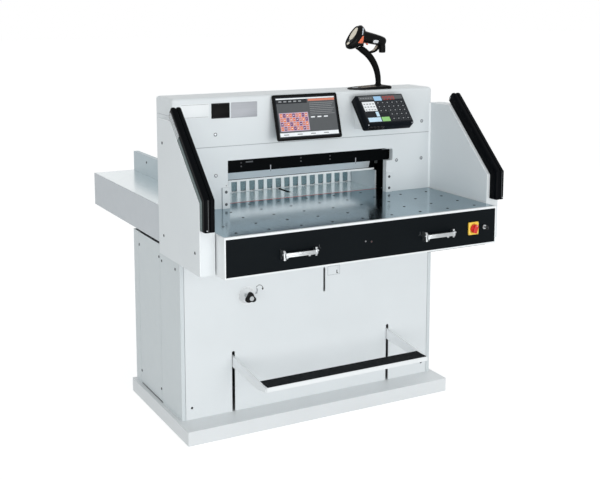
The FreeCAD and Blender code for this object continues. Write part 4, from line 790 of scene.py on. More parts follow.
def knife_details():
    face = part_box("knife_beam")[0].y
    shape = Shape()
    for x, z0 in ((-0.295, 1.052), (-0.027, 1.053), (0.110, 1.051)):
        for z, paint in ((z0, 1), (z0 - 14.0 * mm, 3)):
            button_head(shape, Vector((x, face, z)), FRONT, 3.6 * mm, 2.5 * mm, paint)
    for x, z in ((-0.165, 1.029), (0.234, 1.029)):
        shape.block((x - 2.0 * mm, face - 0.8 * mm, z - 21.0 * mm),
                    (x + 2.0 * mm, face, z + 5.0 * mm), 0.3 * mm, 2)
    for x0, z0, x1, z1 in ((-0.275, 1.051, -0.243, 1.057), (0.364, 1.0585, 0.388, 1.0625)):
        shape.block((x0, face - 0.4 * mm, z0), (x1, face, z1), 0.2 * mm, 3)
    shape.piece("knife_beam_screws", "knife", "bright_steel",
                ["screw_steel", "socket_dark_and_shade", "plate_silver", "faint_mark"])


# Light curtains on the wings

CURTAIN_MIDDLE = 0.628
CURTAIN_HALF = 20.0 * mm
CURTAIN_DEPTH = 42.0 * mm
CURTAIN_CENTRE = 21.0 * mm
CURTAIN_ARC = 8.0 * mm
CURTAIN_FOOT = (-0.5815, 0.902)
CURTAIN_BEND = (-0.5815, 0.996)
CURTAIN_RUN = Vector((0.0, 0.71946, 0.69454))
CURTAIN_REACH = 0.4054
CURTAIN_END = CURTAIN_REACH - 9.0 * mm
WEB_FOOT_Y = -0.3125


def curtain_half():
    """The outer half of the curtain's profile, from its back to its middle groove: (out, depth)."""
    rim = [(CURTAIN_HALF - down * mm, depth * mm) for down, depth in
           ((0.0, 0.0), (0.0, 13.0), (1.0, 13.6), (1.0, 15.4), (0.0, 16.0), (0.0, 25.0),
            (0.8, 25.5), (0.8, 26.5), (0.0, 27.0))]
    for step in range(7):
        angle = radians(90.0 * step / 6.0)
        rim.append((CURTAIN_HALF - CURTAIN_ARC + CURTAIN_ARC * cos(angle),
                    CURTAIN_DEPTH - CURTAIN_ARC + CURTAIN_ARC * sin(angle)))
    return rim + [(3.0 * mm, CURTAIN_DEPTH), (1.2 * mm, CURTAIN_DEPTH - 3.0 * mm)]


def curtain_point(side, out, depth, place):
    """A point of the profile at the foot, at the bend, or at a length along the slope."""
    x = side * (CURTAIN_MIDDLE + out)
    run_y, run_z = CURTAIN_RUN.y, CURTAIN_RUN.z
    if place == "foot":
        return Vector((x, CURTAIN_FOOT[0] - depth, CURTAIN_FOOT[1]))
    if place == "bend":
        slide = depth * (run_z - 1.0) / run_y
        return Vector((x, CURTAIN_BEND[0] - depth,
                       CURTAIN_BEND[1] + run_y * depth + run_z * slide))
    return Vector((x, CURTAIN_BEND[0] - run_z * depth + run_y * place,
                   CURTAIN_BEND[1] + run_y * depth + run_z * place))


def scaled(section, share, middle=0.0):
    """A section drawn in towards a point of its middle line."""
    return [(middle + (out - middle) * share, CURTAIN_CENTRE + (depth - CURTAIN_CENTRE) * share)
            for out, depth in section]


def curtain_ring(side, section, place, step=Vector()):
    return [curtain_point(side, out, depth, place) + step for out, depth in section]


def curtains():
    rim = curtain_half()
    section = rim + [(-out, depth) for out, depth in reversed(rim)]
    end = CURTAIN_END
    # The first strip along each curtain's outer side is painted shade beside the black profile, not
    # a lens.
    side_shade_strip = in_mm((19.8, 0.4), (21.0, 0.4), (21.6, 1.2), (21.6, 19.2), (21.0, 20.0), (19.8, 20.0))
    wide = in_mm((19.8, 0.4), (21.6, 0.4), (22.4, 1.6), (22.4, 24.0), (21.6, 25.2), (19.8, 25.2))
    line = in_mm((6.2, 41.4), (7.6, 41.4), (7.6, 42.25), (6.2, 42.25))
    for name, side in (("left", LEFT), ("right", RIGHT)):
        shape = Shape()
        shape.loft([curtain_ring(side, section, place) for place in ("foot", "bend", end)])
        for middle in (-10.2 * mm, 10.2 * mm):
            lobe = rounded(18.6 * mm, 40.5 * mm, 7.5 * mm, 5, middle - 9.3 * mm, 0.8 * mm)
            shape.loft([curtain_ring(side, scaled(lobe, share, middle), end + place * mm)
                        for place, share in ((-2.0, 1.0), (1.0, 1.0), (4.0, 0.96), (7.0, 0.87),
                                             (9.5, 0.72), (11.2, 0.52), (12.0, 0.3))])
        for part, places, paint in ((side_shade_strip, ("foot", "bend", end - 118.0 * mm), 1),
                                    (wide, (end - 117.0 * mm, end - 6.0 * mm), 5),
                                    (line, ("foot", "bend"), 2)):
            shape.loft([curtain_ring(side, part, place) for place in places], paint)
        x = side * CURTAIN_MIDDLE
        tail = curtain_point(side, 0.0, 0.0, CURTAIN_REACH - 4.0 * mm)
        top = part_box("wing_left")[1].z
        shape.prism([(WEB_FOOT_Y, top - 0.2 * mm), (tail.y, top - 0.2 * mm),
                     (tail.y, tail.z - 1.0 * mm)], (x - 7.0 * mm, 0.0, 0.0), BACK, UP,
                    ACROSS * 14.0 * mm, 0.6 * mm, 3)
        shape.lathe(in_mm((3.2, -9.5), (3.6, -9.0), (3.6, 9.0), (3.2, 9.5)),
                    Vector((x, tail.y - 6.0 * mm, top + 7.0 * mm)), ACROSS, 16, 4)
        button_head(shape, Vector((x + side * 11.7 * mm, CURTAIN_FOOT[0] - CURTAIN_DEPTH,
                                   CURTAIN_FOOT[1] + 4.5 * mm)), FRONT, 2.8 * mm, 1.2 * mm, 4, 3)
        for way in (LEFT, RIGHT):
            spot = curtain_point(side, side * way * 19.2 * mm, 14.0 * mm, end + 0.5 * mm)
            button_head(shape, spot, ACROSS * way, 4.2 * mm, 1.2 * mm, 4, 3)
        shape.loft([curtain_ring(side, scaled(section, share), "foot", UP * rise)
                    for share, rise in ((0.96, -3.0 * mm), (1.01, -1.6 * mm), (1.01, 0.5 * mm))])
        shape.loft([curtain_ring(side, scaled(section, 1.012), "bend",
                                 Vector((0, -0.92, 0.38)) * slide * mm) for slide in (-0.4, 0.4)])
        shape.piece("curtain_profile_" + name, "machine", "curtain_black",
                    ["curtain_black", "lens", "curtain_line", "socket_dark_and_shade", "screw_steel",
                     "lens_speckled"], "light_curtain_" + name)


# Hand scanner on its stand

SCANNER_Y = -0.130
HEAD_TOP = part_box("head_cover")[1].z
HOOD_LEAN = radians(33.6)
HOOD_UP = Vector((sin(HOOD_LEAN), 0.0, cos(HOOD_LEAN)))
HOOD_IN = Vector((cos(HOOD_LEAN), 0.0, -sin(HOOD_LEAN)))
HOOD_FACE = Vector((0.229, SCANNER_Y, HEAD_TOP + 0.222))
HOOD_SHARE = 0.57
HOOD_POWER = 2.15
BODY_LEAN = radians(17.0)
GRIP_X = 0.378
GRIP_RINGS = (158.0, 163.0, 168.0, 173.0)  # heights over the head in millimetres
SKIN_VOXEL = 1.8 * mm
SKIN_ROUNDS = 4
PROBE_FROM = 0.08
# Outlines on the scanner's sides, in x and z, with the lift and the paint of each
SCANNER_PATCHES = (
    ([(0.2400, 1.5135), (0.2560, 1.5112), (0.2700, 1.5105), (0.2725, 1.5160), (0.2720, 1.5280),
      (0.2705, 1.5400), (0.2675, 1.5435), (0.2630, 1.5415), (0.2540, 1.5320),
      (0.2460, 1.5220)], 0.9 * mm, 1),
    # The second patch is a painted highlight, a light band on the hood's side.
    ([(0.2590, 1.5470), (0.2650, 1.5480), (0.2700, 1.5600), (0.2735, 1.5720), (0.2720, 1.5770),
      (0.2680, 1.5740), (0.2625, 1.5600)], 0.35 * mm, 2),
    ([(0.3200, 1.5130), (0.3330, 1.5112), (0.3460, 1.5115), (0.3475, 1.5185), (0.3450, 1.5230),
      (0.3320, 1.5245), (0.3220, 1.5240), (0.3195, 1.5185)], 0.4 * mm, 3))


def egg(centre, up, across, tall, wide, steps=40, power=2.0, narrow=0.0):
    """A ring that can be squarer than an ellipse and narrower at its top."""
    ring = []
    for angle in circle(steps):
        c, s = cos(angle), sin(angle)
        rise = copysign(abs(c) ** (2.0 / power), c)
        side = copysign(abs(s) ** (2.0 / power), s) * (1.0 - narrow * rise)
        ring.append(centre + up * (tall * rise) + across * (wide * side))
    return ring


def skin(shapes, voxel, rounds):
    """One smooth closed skin round overlapping closed shapes, as a bmesh."""
    mesh = bpy.data.meshes.new("skin")
    shapes.mesh.to_mesh(mesh)
    shapes.mesh.free()
    obj = show(bpy.data.objects.new("skin", mesh))
    remesh = obj.modifiers.new("remesh", "REMESH")
    remesh.mode = "VOXEL"
    remesh.voxel_size = voxel
    smooth = obj.modifiers.new("smooth", "SMOOTH")
    smooth.factor = 0.5
    smooth.iterations = rounds
    bpy.context.view_layer.update()
    made = bpy.data.meshes.new_from_object(
        obj.evaluated_get(bpy.context.evaluated_depsgraph_get()))
    result = bmesh.new()
    result.from_mesh(made)
    bpy.data.objects.remove(obj)
    bpy.data.meshes.remove(mesh)
    bpy.data.meshes.remove(made)
    return result


def patch(shape, tree, outline, side, rise, paint):
    """A thin patch that follows a curved side, its outline drawn in towards a middle point."""
    count = len(outline)
    middle = Vector((sum(x for x, z in outline) / count, sum(z for x, z in outline) / count))
    buried = -0.6 * mm
    part = bmesh.new()

    def vert(x, z, lift):
        start = Vector((x, SCANNER_Y + side * PROBE_FROM, z))
        hit = tree.ray_cast(start, Vector((0, -side, 0)))[0]
        return part.verts.new(hit + Vector((0, side * lift, 0)))

    def ring(share, lift):
        return [vert(middle.x + (x - middle.x) * share, middle.y + (z - middle.y) * share, lift)
                for x, z in outline]

    hub_top = vert(middle.x, middle.y, rise)
    hub_low = vert(middle.x, middle.y, buried)
    top, low = [], []
    for share in (0.25, 0.5, 0.75, 1.0):
        top.append(ring(share, rise if share < 1.0 else rise * 0.2))
        low.append(ring(share, buried))
    for i in range(count):
        j = (i + 1) % count
        part.faces.new((hub_top, top[0][i], top[0][j]))
        part.faces.new((hub_low, low[0][j], low[0][i]))
        for k in range(len(top) - 1):
            part.faces.new((top[k][i], top[k + 1][i], top[k + 1][j], top[k][j]))
            part.faces.new((low[k][j], low[k + 1][j], low[k + 1][i], low[k][i]))
        part.faces.new((top[-1][i], low[-1][i], low[-1][j], top[-1][j]))
    shape.take_outward(part, paint)


def hood_place(distance, lift=0.0):
    return HOOD_FACE + HOOD_IN * distance * mm + HOOD_UP * lift * mm


def hood_ring(distance, tall, lift=0.0, narrow=0.08):
    return egg(hood_place(distance, lift), HOOD_UP, BACK, tall * mm, tall * HOOD_SHARE * mm,
               power=HOOD_POWER, narrow=narrow)


def scanner_spot(x, rise):
    return Vector((x * mm, SCANNER_Y, HEAD_TOP + rise * mm))


def scanner_skin():
    """The hood, the body behind it, the grip and a short socket for the neck, as one skin."""
    form = Shape()
    form.loft([hood_ring(distance, tall, lift, narrow) for distance, lift, tall, narrow in
               ((1.5, 0.0, 47.0, 0.08), (3.0, 0.0, 51.0, 0.08), (7.0, 1.0, 55.5, 0.09),
                (12.0, 2.5, 58.0, 0.10), (20.0, 3.5, 57.4, 0.11), (28.0, 5.5, 54.0, 0.12),
                (36.0, 8.0, 48.5, 0.12), (43.0, 10.0, 41.5, 0.10), (50.0, 11.0, 33.5, 0.06),
                (56.0, 11.5, 24.0, 0.0))])
    up = Vector((sin(BODY_LEAN), 0.0, cos(BODY_LEAN)))
    form.loft([egg(scanner_spot(x, rise), up, BACK, tall * mm, wide * mm, power=2.6)
               for x, rise, tall, wide in
               ((268.0, 223.0, 24.0, 24.0), (300.0, 214.0, 24.5, 23.5),
                (335.0, 206.5, 23.0, 22.0), (365.0, 200.0, 21.0, 20.0),
                (382.0, 196.0, 18.0, 17.0), (390.0, 193.5, 12.5, 12.0),
                (393.5, 192.0, 6.0, 6.0))])
    form.loft([egg(scanner_spot(x, rise), ACROSS, BACK, fore * mm, wide * mm, power=2.4)
               for x, rise, fore, wide in
               ((366.0, 200.0, 17.0, 16.5), (372.0, 188.0, 17.5, 16.0),
                (376.0, 174.0, 15.5, 14.5), (378.0, 160.0, 13.8, 13.2),
                (378.0, 150.0, 13.3, 12.8), (378.0, 148.5, 12.2, 11.8))])
    form.lathe(in_mm((11.0, 0.0), (11.0, 30.0)), Vector((0.274, SCANNER_Y, HEAD_TOP + 0.1775)),
               UP)
    return skin(form, SKIN_VOXEL, SKIN_ROUNDS)


def scanner_body():
    body = scanner_skin()
    tree = BVHTree.FromBMesh(body)
    shape = Shape()
    shape.take(body)
    shape.loft([hood_ring(distance, tall) for tall, distance in
                ((47.0, 3.4), (48.0, -0.4), (47.4, -1.2), (45.5, -1.4), (44.2, -0.6),
                 (43.4, 1.0), (42.4, 2.6), (42.0, 4.0))])
    for side in (LEFT, RIGHT):
        for outline, rise, paint in SCANNER_PATCHES:
            patch(shape, tree, outline, side, rise, paint)
    for rise in GRIP_RINGS:
        start = Vector((GRIP_X - (rise - GRIP_RINGS[0]) * 0.1 * mm, SCANNER_Y,
                        HEAD_TOP + rise * mm))
        ring = []
        for way in ring_of(24, ACROSS, BACK):
            hit = tree.ray_cast(start, way, 0.05)[0]
            ring.append((hit or start + way * 13.0 * mm, way))
        shape.loft([[spot + way * out * mm + UP * up * mm for spot, way in ring]
                    for out, up in ((-0.6, -1.1), (0.5, -0.7), (0.5, 0.7), (-0.6, 1.1))],
                   0, True)
    shape.piece("scanner_shell", "scanner", "gloss_black",
                ["gloss_black", "orange", "hood_highlight", "print_white"], "scanner_body")
    shape = Shape()
    for tall, wide, lift, rise in ((34.0, 22.5, 11.5, 1.6), (8.5, 11.5, -36.0, 1.4)):
        def pane(distance, high=tall, across=wide):
            return egg(hood_place(distance, lift), HOOD_UP, BACK, high * mm, across * mm, 36)
        shape.loft([pane(3.2), pane(2.4), pane(2.4 - rise, tall * 0.8, wide * 0.8)])
        inner, outer = pane(2.6), pane(2.6, tall + 1.5, wide + 1.5)
        shape.loft([outer, [spot - HOOD_IN * 0.8 * mm for spot in outer],
                    [spot - HOOD_IN * 1.0 * mm for spot in inner], inner], 1, True)
    shape.lathe(in_mm((5.6, -0.5), (5.6, 1.6), (4.6, 1.9)), hood_place(3.0, -24.0), -HOOD_IN, 24,
                1)
    shape.lathe(in_mm((3.6, 1.0), (3.4, 2.2), (2.0, 2.9), (0.0, 3.1)), hood_place(3.0, -24.0),
                -HOOD_IN, 20, 2)
    shape.piece("scanner_glass", "scanner", "window_amber",
                ["window_amber", "gloss_black", "lamp_clear"], "scanner_window")
    low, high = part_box("scanner_trigger")
    shape = Shape()
    shape.prism(in_mm((0.0, 13.8), (11.0, 13.8), (17.0, 8.5), (19.8, 2.2), (18.6, 0.2),
                      (15.6, 1.2), (12.5, 5.6), (8.5, 7.6), (1.5, 7.8), (0.0, 9.5)),
                (low.x, high.y - 1.0 * mm, low.z), ACROSS, UP,
                FRONT * (high.y - low.y - 2.0 * mm), 1.2 * mm)
    shape.piece("scanner_trigger_hook", "scanner_trigger", "orange", ["orange"],
                "scanner_trigger")


STAND_FRONT, STAND_BACK = -0.186, -0.088
STAND_NOSE = 49.0 * mm
STAND_CORNER = 14.0 * mm
NECK_X = 0.360
NECK_BEND = 57.0
NECK_SWEEP, NECK_RISE = 0.168, 0.163
RIBS_FROM, RIBS_TO = 0.262, 0.330
# The stand's hook: x, z, half its thickness and half its width, the last two in millimetres
HOOK = ((0.300, 1.4715, 4.0, 8.0), (0.307, 1.4722, 4.2, 9.0), (0.316, 1.4728, 4.5, 10.5),
        (0.326, 1.4740, 4.9, 12.0), (0.335, 1.4765, 5.4, 13.0), (0.343, 1.4812, 6.0, 13.5),
        (0.349, 1.4870, 6.4, 13.5), (0.3525, 1.4930, 6.2, 13.0), (0.3540, 1.4985, 5.4, 12.0),
        (0.3545, 1.5010, 4.0, 10.0))


def stand_plate(shape, left, right, middle):
    """The low plate, round at its nose, with a thin clear ring and two ribs on it."""
    corner, nose = STAND_CORNER, STAND_NOSE
    outline = [(right - corner + corner * sin(a), STAND_BACK - corner + corner * cos(a))
               for a in (radians(15.0 * i) for i in range(7))]
    outline += [(x, STAND_FRONT + STAND_BACK - y) for x, y in reversed(outline)]
    outline += [(left + nose - nose * cos(a), middle - nose * sin(a))
                for a in (radians(90.0 - 10.0 * i) for i in range(19))]
    centre = Vector(((left + right) / 2.0, middle, HEAD_TOP))
    shape.loft([[Vector((centre.x + (x - centre.x) * share, middle + (y - middle) * share,
                         HEAD_TOP + max(rise * (0.62 + 0.85 * (x - left) / (right - left)),
                                        0.02) * mm)) for x, y in outline]
                for share, rise in ((0.985, 0.02), (1.0, 1.2), (1.0, 5.2), (0.985, 6.6),
                                    (0.95, 8.0), (0.88, 8.8), (0.78, 9.0))])
    hub_x, hub_z = left + 30.0 * mm, HEAD_TOP + 6.8 * mm
    hub = Vector((hub_x, middle, hub_z))
    section = [(cos(radians(60.0 * i)), sin(radians(60.0 * i))) for i in range(6)]
    ring = [Vector((hub_x + 11.0 * mm * cos(a), middle + 11.0 * mm * sin(a), hub_z))
            for a in (radians(15.0 * i) for i in range(24))]
    shape.loft([[spot + (spot - hub).normalized() * u * 1.4 * mm + UP * v * 1.2 * mm
                 for u, v in section] for spot in ring], 1, True)
    for way in (1.0, -1.0):
        shape.tube([Vector((x, middle + way * (18.0 + 60.0 * (x - RIBS_FROM)) * mm,
                            HEAD_TOP + height * mm))
                    for x, height in ((RIBS_FROM, 8.0), (RIBS_TO, 10.6))], 1.3 * mm, 8, 4)


def stand_neck(shape):
    """A collar, and the bent neck that thins to a flat tip."""
    foot = Vector((NECK_X, SCANNER_Y, HEAD_TOP + 11.0 * mm))
    shape.lathe(in_mm((19.0, -3.0), (19.0, 1.4), (16.5, 3.2), (13.2, 5.0), (12.0, 9.0),
                      (11.0, 10.0)), foot, UP, 32)
    path = [foot + UP * rise * mm for rise in (-2.0, 4.0, 9.0, 13.0)]
    for step in range(1, 25):
        angle = radians(NECK_BEND * step / 24.0)
        path.append(Vector((NECK_X - NECK_SWEEP * (1.0 - cos(angle)), SCANNER_Y,
                            HEAD_TOP + 24.0 * mm + NECK_RISE * sin(angle))))
    end = path[-1]
    onward = (end - path[-2]).normalized()
    path += [end + onward * reach * mm for reach in (6.0, 12.0, 18.0, 23.0, 27.0, 30.0)]
    last = len(path) - 1
    tips = dict(enumerate(((2.0, -9.5), (5.5, -7.0), (8.0, -5.0), (10.5, -2.5), (12.5, -0.8))))
    rings = []
    for i, spot in enumerate(path):
        ahead = (path[min(i + 1, last)] - path[max(i - 1, 0)]).normalized()
        upper = Vector((ahead.z, 0, -ahead.x))
        wide = 11.2 + 3.2 * min(i / last * 1.6, 1.0)
        tall, slide = tips.get(last - i, (wide, 0.0))
        rings.append(egg(spot + upper * slide * mm, upper, BACK, tall * mm,
                         max(wide * 0.95, 2.0) * mm, 28))
    shape.loft(rings)


def stand_hook(shape):
    """The hook under the scanner's nose, lined on its inner side."""
    rings, lining = [], []
    for i, (x, z, thick, wide) in enumerate(HOOK):
        before, after = HOOK[max(i - 1, 0)], HOOK[min(i + 1, len(HOOK) - 1)]
        ahead = Vector((after[0] - before[0], 0, after[1] - before[1])).normalized()
        inward = Vector((-ahead.z, 0, ahead.x))
        spot = Vector((x, SCANNER_Y, z))
        rings.append(egg(spot, inward, BACK, thick * mm, wide * mm, 28, 2.6))
        lining.append(egg(spot + inward * (thick - 0.6) * mm, inward, BACK, 1.0 * mm,
                          wide * 0.7 * mm, 20, 2.6))
    shape.loft(rings)
    shape.loft(lining[3:9], 4)


def scanner_stand():
    low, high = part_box("scanner_stand")
    shape = Shape()
    stand_plate(shape, low.x, high.x, (STAND_FRONT + STAND_BACK) / 2.0)
    stand_neck(shape)
    stand_hook(shape)
    shape.piece("stand_neck", "machine", "black_plastic",
                ["stand_black", "lamp_clear", "screw_steel", "socket_dark_and_shade", "beige"],
                "scanner_stand")


# The two screens

TABLET_TILT, TABLET_Y = 16.6, -0.252
PANEL_TILT, PANEL_Y = 40.6, -0.325


def lean_of(tilt):
    """Up a leaning face, and into it."""
    lean = radians(tilt)
    return Vector((0, sin(lean), cos(lean))), Vector((0, cos(lean), -sin(lean)))


class Leaning:
    """A place on a leaning case. u runs right, v up the case and w into it, in millimetres."""

    def __init__(self, x, y, z, tilt):
        self.corner = Vector((x, y, z))
        self.up, self.into = lean_of(tilt)

    def at(self, u, v, w=0.0):
        return self.corner + ACROSS * u * mm + self.up * v * mm + self.into * w * mm

    def ring(self, u, v, width, tall, radius, inset, w):
        return [self.at(a, b, w) for a, b in
                rounded(width - 2 * inset, tall - 2 * inset, radius, 5, u + inset, v + inset)]

    def slab(self, shape, u, v, width, tall, radius, stations, paint=0):
        """Rounded rectangles in a stack. stations holds (inset, w) pairs."""
        shape.loft([self.ring(u, v, width, tall, max(radius - inset, 0.4), inset, w)
                    for inset, w in stations], paint)

    def frame(self, shape, width, tall, radius, border, stations):
        """A closed rim. stations holds (share of the border, w) pairs round its section."""
        shape.loft([self.ring(0, 0, width, tall, max(radius - border * share, 0.8),
                              border * share, w) for share, w in stations], 0, True)


def tablet_case():
    place = Leaning(-0.179, TABLET_Y, HEAD_TOP - 0.180, TABLET_TILT)
    shape = Shape()
    place.slab(shape, 0, 0, 293, 185, 8, ((1.0, 1.2), (0.0, 2.0), (0.0, 6.6), (0.8, 8.2),
                                          (2.0, 9.0)))
    place.frame(shape, 293, 185, 8, 9.0, ((0.0, 2.0), (0.02, 0.7), (0.14, 0.1), (0.9, 0.0),
                                          (1.0, 0.5), (1.0, 1.6), (0.5, 2.0)))
    # A thin silver line along the case's top edge, a painted highlight.
    place.slab(shape, 1.5, 183.4, 290, 1.5, 0.7, ((0.0, 2.4), (0.0, 5.6)), 1)
    for u in (262.0, 274.0):
        place.slab(shape, u, 184.2, 8, 0.8, 0.3, ((0.0, 3.0), (0.0, 5.0)), 2)
    for i in range(9):
        place.slab(shape, 200 + 7 * i, 150, 3, 18, 1.4, ((0.0, 8.7), (0.3, 9.25)), 2)
    shape.piece("tablet_case", "machine", "gloss_black",
                ["gloss_black", "silver_and_highlight", "black_plastic"], "tablet_housing")
    shape = Shape()
    place.slab(shape, 8.5, 8.5, 276, 168, 1.5, ((0.0, 1.6), (0.0, 0.9), (0.4, 0.75)))
    shape.piece("tablet_glass", "machine", "display", ["display"], "tablet_screen")


def panel_case():
    place = Leaning(0.187, PANEL_Y, HEAD_TOP - 0.1283, PANEL_TILT)
    shape = Shape()
    place.slab(shape, 0, 0, 230, 150, 7, ((7.5, 2.4), (5.5, 2.2), (2.2, 5.4), (0.0, 9.0),
                                          (0.0, 28.0), (1.0, 29.0), (1.0, 31.0), (0.0, 32.0),
                                          (0.0, 42.5), (1.5, 44.4), (3.0, 45.0)))
    place.frame(shape, 230, 150, 7, 8.0, ((0.42, 4.2), (0.5, 2.6), (0.66, 1.0), (0.8, 0.3),
                                          (0.94, 0.2), (1.0, 0.9), (1.0, 3.4)))
    out = (-place.into * 0.72 - place.up * 0.69).normalized()
    for u in (10.0, 220.0):
        button_head(shape, place.at(u, 2.6, 5.0) - out * 0.4 * mm, out, 3.4 * mm, 1.8 * mm, 1, 2)
    for i in range(4):
        u = 17.0 * i
        place.slab(shape, 16.0 + u, -6.6, 13.0, 8.0, 1.0, ((0.0, 13.0), (0.0, 29.0)), 3)
        place.slab(shape, 18.0 + u, -5.2, 9.0, 4.2, 0.6, ((0.0, 12.4), (0.0, 13.4)), 2)
    place.slab(shape, 14.0, -4.0, 74.0, 6.0, 1.0, ((0.0, 15.0), (0.0, 30.0)), 2)
    for i in range(8):
        place.slab(shape, 150 + 8 * i, 40, 3.2, 60, 1.5, ((0.0, 44.7), (0.4, 45.3)), 3)
    shape.piece("panel_case", "machine", "panel_grey",
                ["panel_grey", "screw_steel", "socket_dark_and_shade", "black_plastic"], "panel_housing")
    shape = Shape()
    place.slab(shape, 7.4, 7.4, 215.2, 135.2, 1.0, ((0.0, 2.4), (0.0, 0.9), (0.4, 0.75)))
    shape.piece("panel_glass", "machine", "display", ["display"], "panel_screen")


class Screen:
    """Thin coloured tiles on a leaning screen. Places are in millimetres from its lower left."""

    def __init__(self, x, y, z, rise, tilt, tones):
        self.up, into = lean_of(tilt)
        self.out = -into
        self.corner = Vector((x, y + rise * mm * sin(radians(tilt)),
                              z + rise * mm * cos(radians(tilt))))
        self.tones = tones
        self.shape = Shape()

    def tile(self, x, z, width, tall, tone, rise=0.15, radius=0.0):
        outline = in_mm((0, 0), (width, 0), (width, tall), (0, tall))
        if radius:
            outline = rounded(width * mm, tall * mm, radius * mm, 3)
        origin = self.corner + ACROSS * x * mm + self.up * z * mm + self.out * 0.02 * mm
        self.shape.prism(outline, origin, ACROSS, self.up, self.out * rise * mm,
                         paint=self.tones.index(tone))

    def row(self, count, pitch, x, z, width, tall, tone, rise):
        for i in range(count):
            self.tile(x + pitch * i, z, width, tall, tone, rise)

    def piece(self, name):
        self.shape.piece(name, "machine", "display", ["screen_" + tone for tone in self.tones])


def tablet_picture():
    """A made-up page: a toolbar, a colour chart, a list and a row of buttons."""
    page = Screen(-0.168, TABLET_Y, 1.141, 11, TABLET_TILT,
                  ["white", "dark", "grey", "pale_grey", "orange", "salmon", "violet", "lilac",
                   "red"])
    page.tile(3, 3, 265, 157, "grey", 0.10)
    page.tile(3, 5, 265, 15, "white")
    page.tile(3, 154, 265, 5, "white")
    page.tile(3, 137, 138, 17, "dark")
    page.row(5, 22, 14, 143, 13, 5, "pale_grey", 0.25)
    page.tile(146, 144, 122, 9, "salmon")
    for i in range(7):
        page.tile(150, 134.5 - 7.5 * i, 112 - 6 * (i % 3), 1.6, "pale_grey", 0.2)
    page.row(3, 30, 150, 76, 18, 5, "white", 0.2)
    page.tile(9, 26, 130, 74, "lilac")
    for column in range(9):
        for row in range(4):
            x, z = 12 + 14.0 * column, 29.5 + 17.5 * row
            tone = ("orange", "violet", "salmon")[(column + row) % 3]
            page.tile(x, z, 11.0, 14.5, tone, 0.3)
            page.tile(x + 3.0, z + 5.5, 5.0, 3.5, "white" if (column + row) % 2 else "lilac",
                      0.42)
    page.row(4, 60, 20, 10, 22, 4, "pale_grey", 0.25)
    page.piece("tablet_page")


def panel_picture():
    """A made-up keypad page with a readout."""
    page = Screen(0.195, PANEL_Y, 1.1927, 8, PANEL_TILT,
                  ["white", "dark", "grey", "key", "blue", "pale_blue", "green", "red",
                   "pale_grey"])
    page.tile(2, 2, 210, 130, "key", 0.10)
    page.tile(2, 112, 210, 20, "grey")
    page.row(5, 12, 8, 120, 7, 4, "pale_grey", 0.25)
    page.tile(72, 107, 36, 22, "blue", 0.25)
    for digit in range(4):
        for dx, dz, width, tall in ((0, 0, 9, 2), (0, 8, 9, 2), (0, 16, 9, 2), (8, 0, 2, 18),
                                    (0, 8, 2, 10)):
            page.tile(116 + 15 * digit + dx, 110 + dz, width, tall, "red", 0.3)
    page.tile(8, 58, 60, 46, "white", 0.2)
    for row in range(3):
        page.row(4, 14, 12, 62 + 14 * row, 9, 5, "pale_grey", 0.3)
    page.tile(8, 30, 42, 24, "key", 0.2)
    page.tile(54, 30, 14, 24, "pale_blue", 0.2)
    page.tile(8, 5, 60, 21, "pale_blue", 0.2)
    page.tile(72, 5, 38, 21, "green", 0.25)
    for row in range(4):
        for column in range(6):
            x, z = 74 + 23 * column, 30 + 19.5 * row
            if column > 1 or row > 0:
                page.tile(x - 0.7, z - 0.7, 20.4, 16.9, "grey", 0.2, 2.5)
                page.tile(x, z, 19, 15.5, "key", 0.3, 2.0)
                page.tile(x + 6.5, z + 5.5, 6, 4.5, "pale_grey", 0.4)
    for column in range(2, 6):
        x = 23 * column
        page.tile(73.3 + x, 6.3, 20.4, 19.4, "grey", 0.2, 2.5)
        page.tile(74 + x, 7, 19, 18, "key", 0.3, 2.0)
        page.tile(80.5 + x, 13.5, 6, 4.5, "pale_grey", 0.4)
    page.piece("panel_page")


# Trim round the window, on the cabinet and under the table, with the painted shade and highlights
# there

FENCE_FOOT = 0.8826
FIN_TOP, PANEL_TOP = 0.9525, 0.9526
FIN_PITCH, FIN_WIDTH = 42.0 * mm, 14.0 * mm
STRIP_FOOT = 0.8835
SIGHT_MIDDLE = (0.051, 0.5465)


def window_trim():
    shape = Shape()
    # White jambs on the side guides' front edges, a painted highlight.
    for side in (LEFT, RIGHT):
        shape.side_block(side, (0.3672, 0.373), (-0.1015, -0.1000), (0.8824, 0.9615), 0.3 * mm)
    shape.piece("guide_jamb_highlights", "machine", "white_paint", ["white_and_highlight"])
    shape = Shape()
    # Black plates in the open gaps beside the window and a black lining in the table's slot:
    # painted shade where the inside is dark.
    for side in (LEFT, RIGHT):
        shape.side_block(side, (0.3765, 0.4485), (-0.0300, -0.0275), (STRIP_FOOT, 0.9830),
                         0.4 * mm)
        for z in (0.900, 0.965):
            button_head(shape, Vector((side * 0.436, -0.0300, z)), FRONT, 4.0 * mm, 2.0 * mm, 1)
        shape.side_block(side, (0.3765, 0.4780), (-0.1058, -0.1047), (STRIP_FOOT, 1.0600),
                         0.4 * mm)
        shape.side_block(side, (0.4520, 0.4780), (-0.1048, -0.1000), (0.8900, 1.0500), 0.4 * mm)
        shape.side_block(side, (0.0084, 0.0090), (-7.8 * mm, 0.7418), (0.8722, 0.8818))
    shape.piece("tunnel_shade_plates", "machine", "black_paint", ["beam_black_and_shade", "socket_dark_and_shade"])


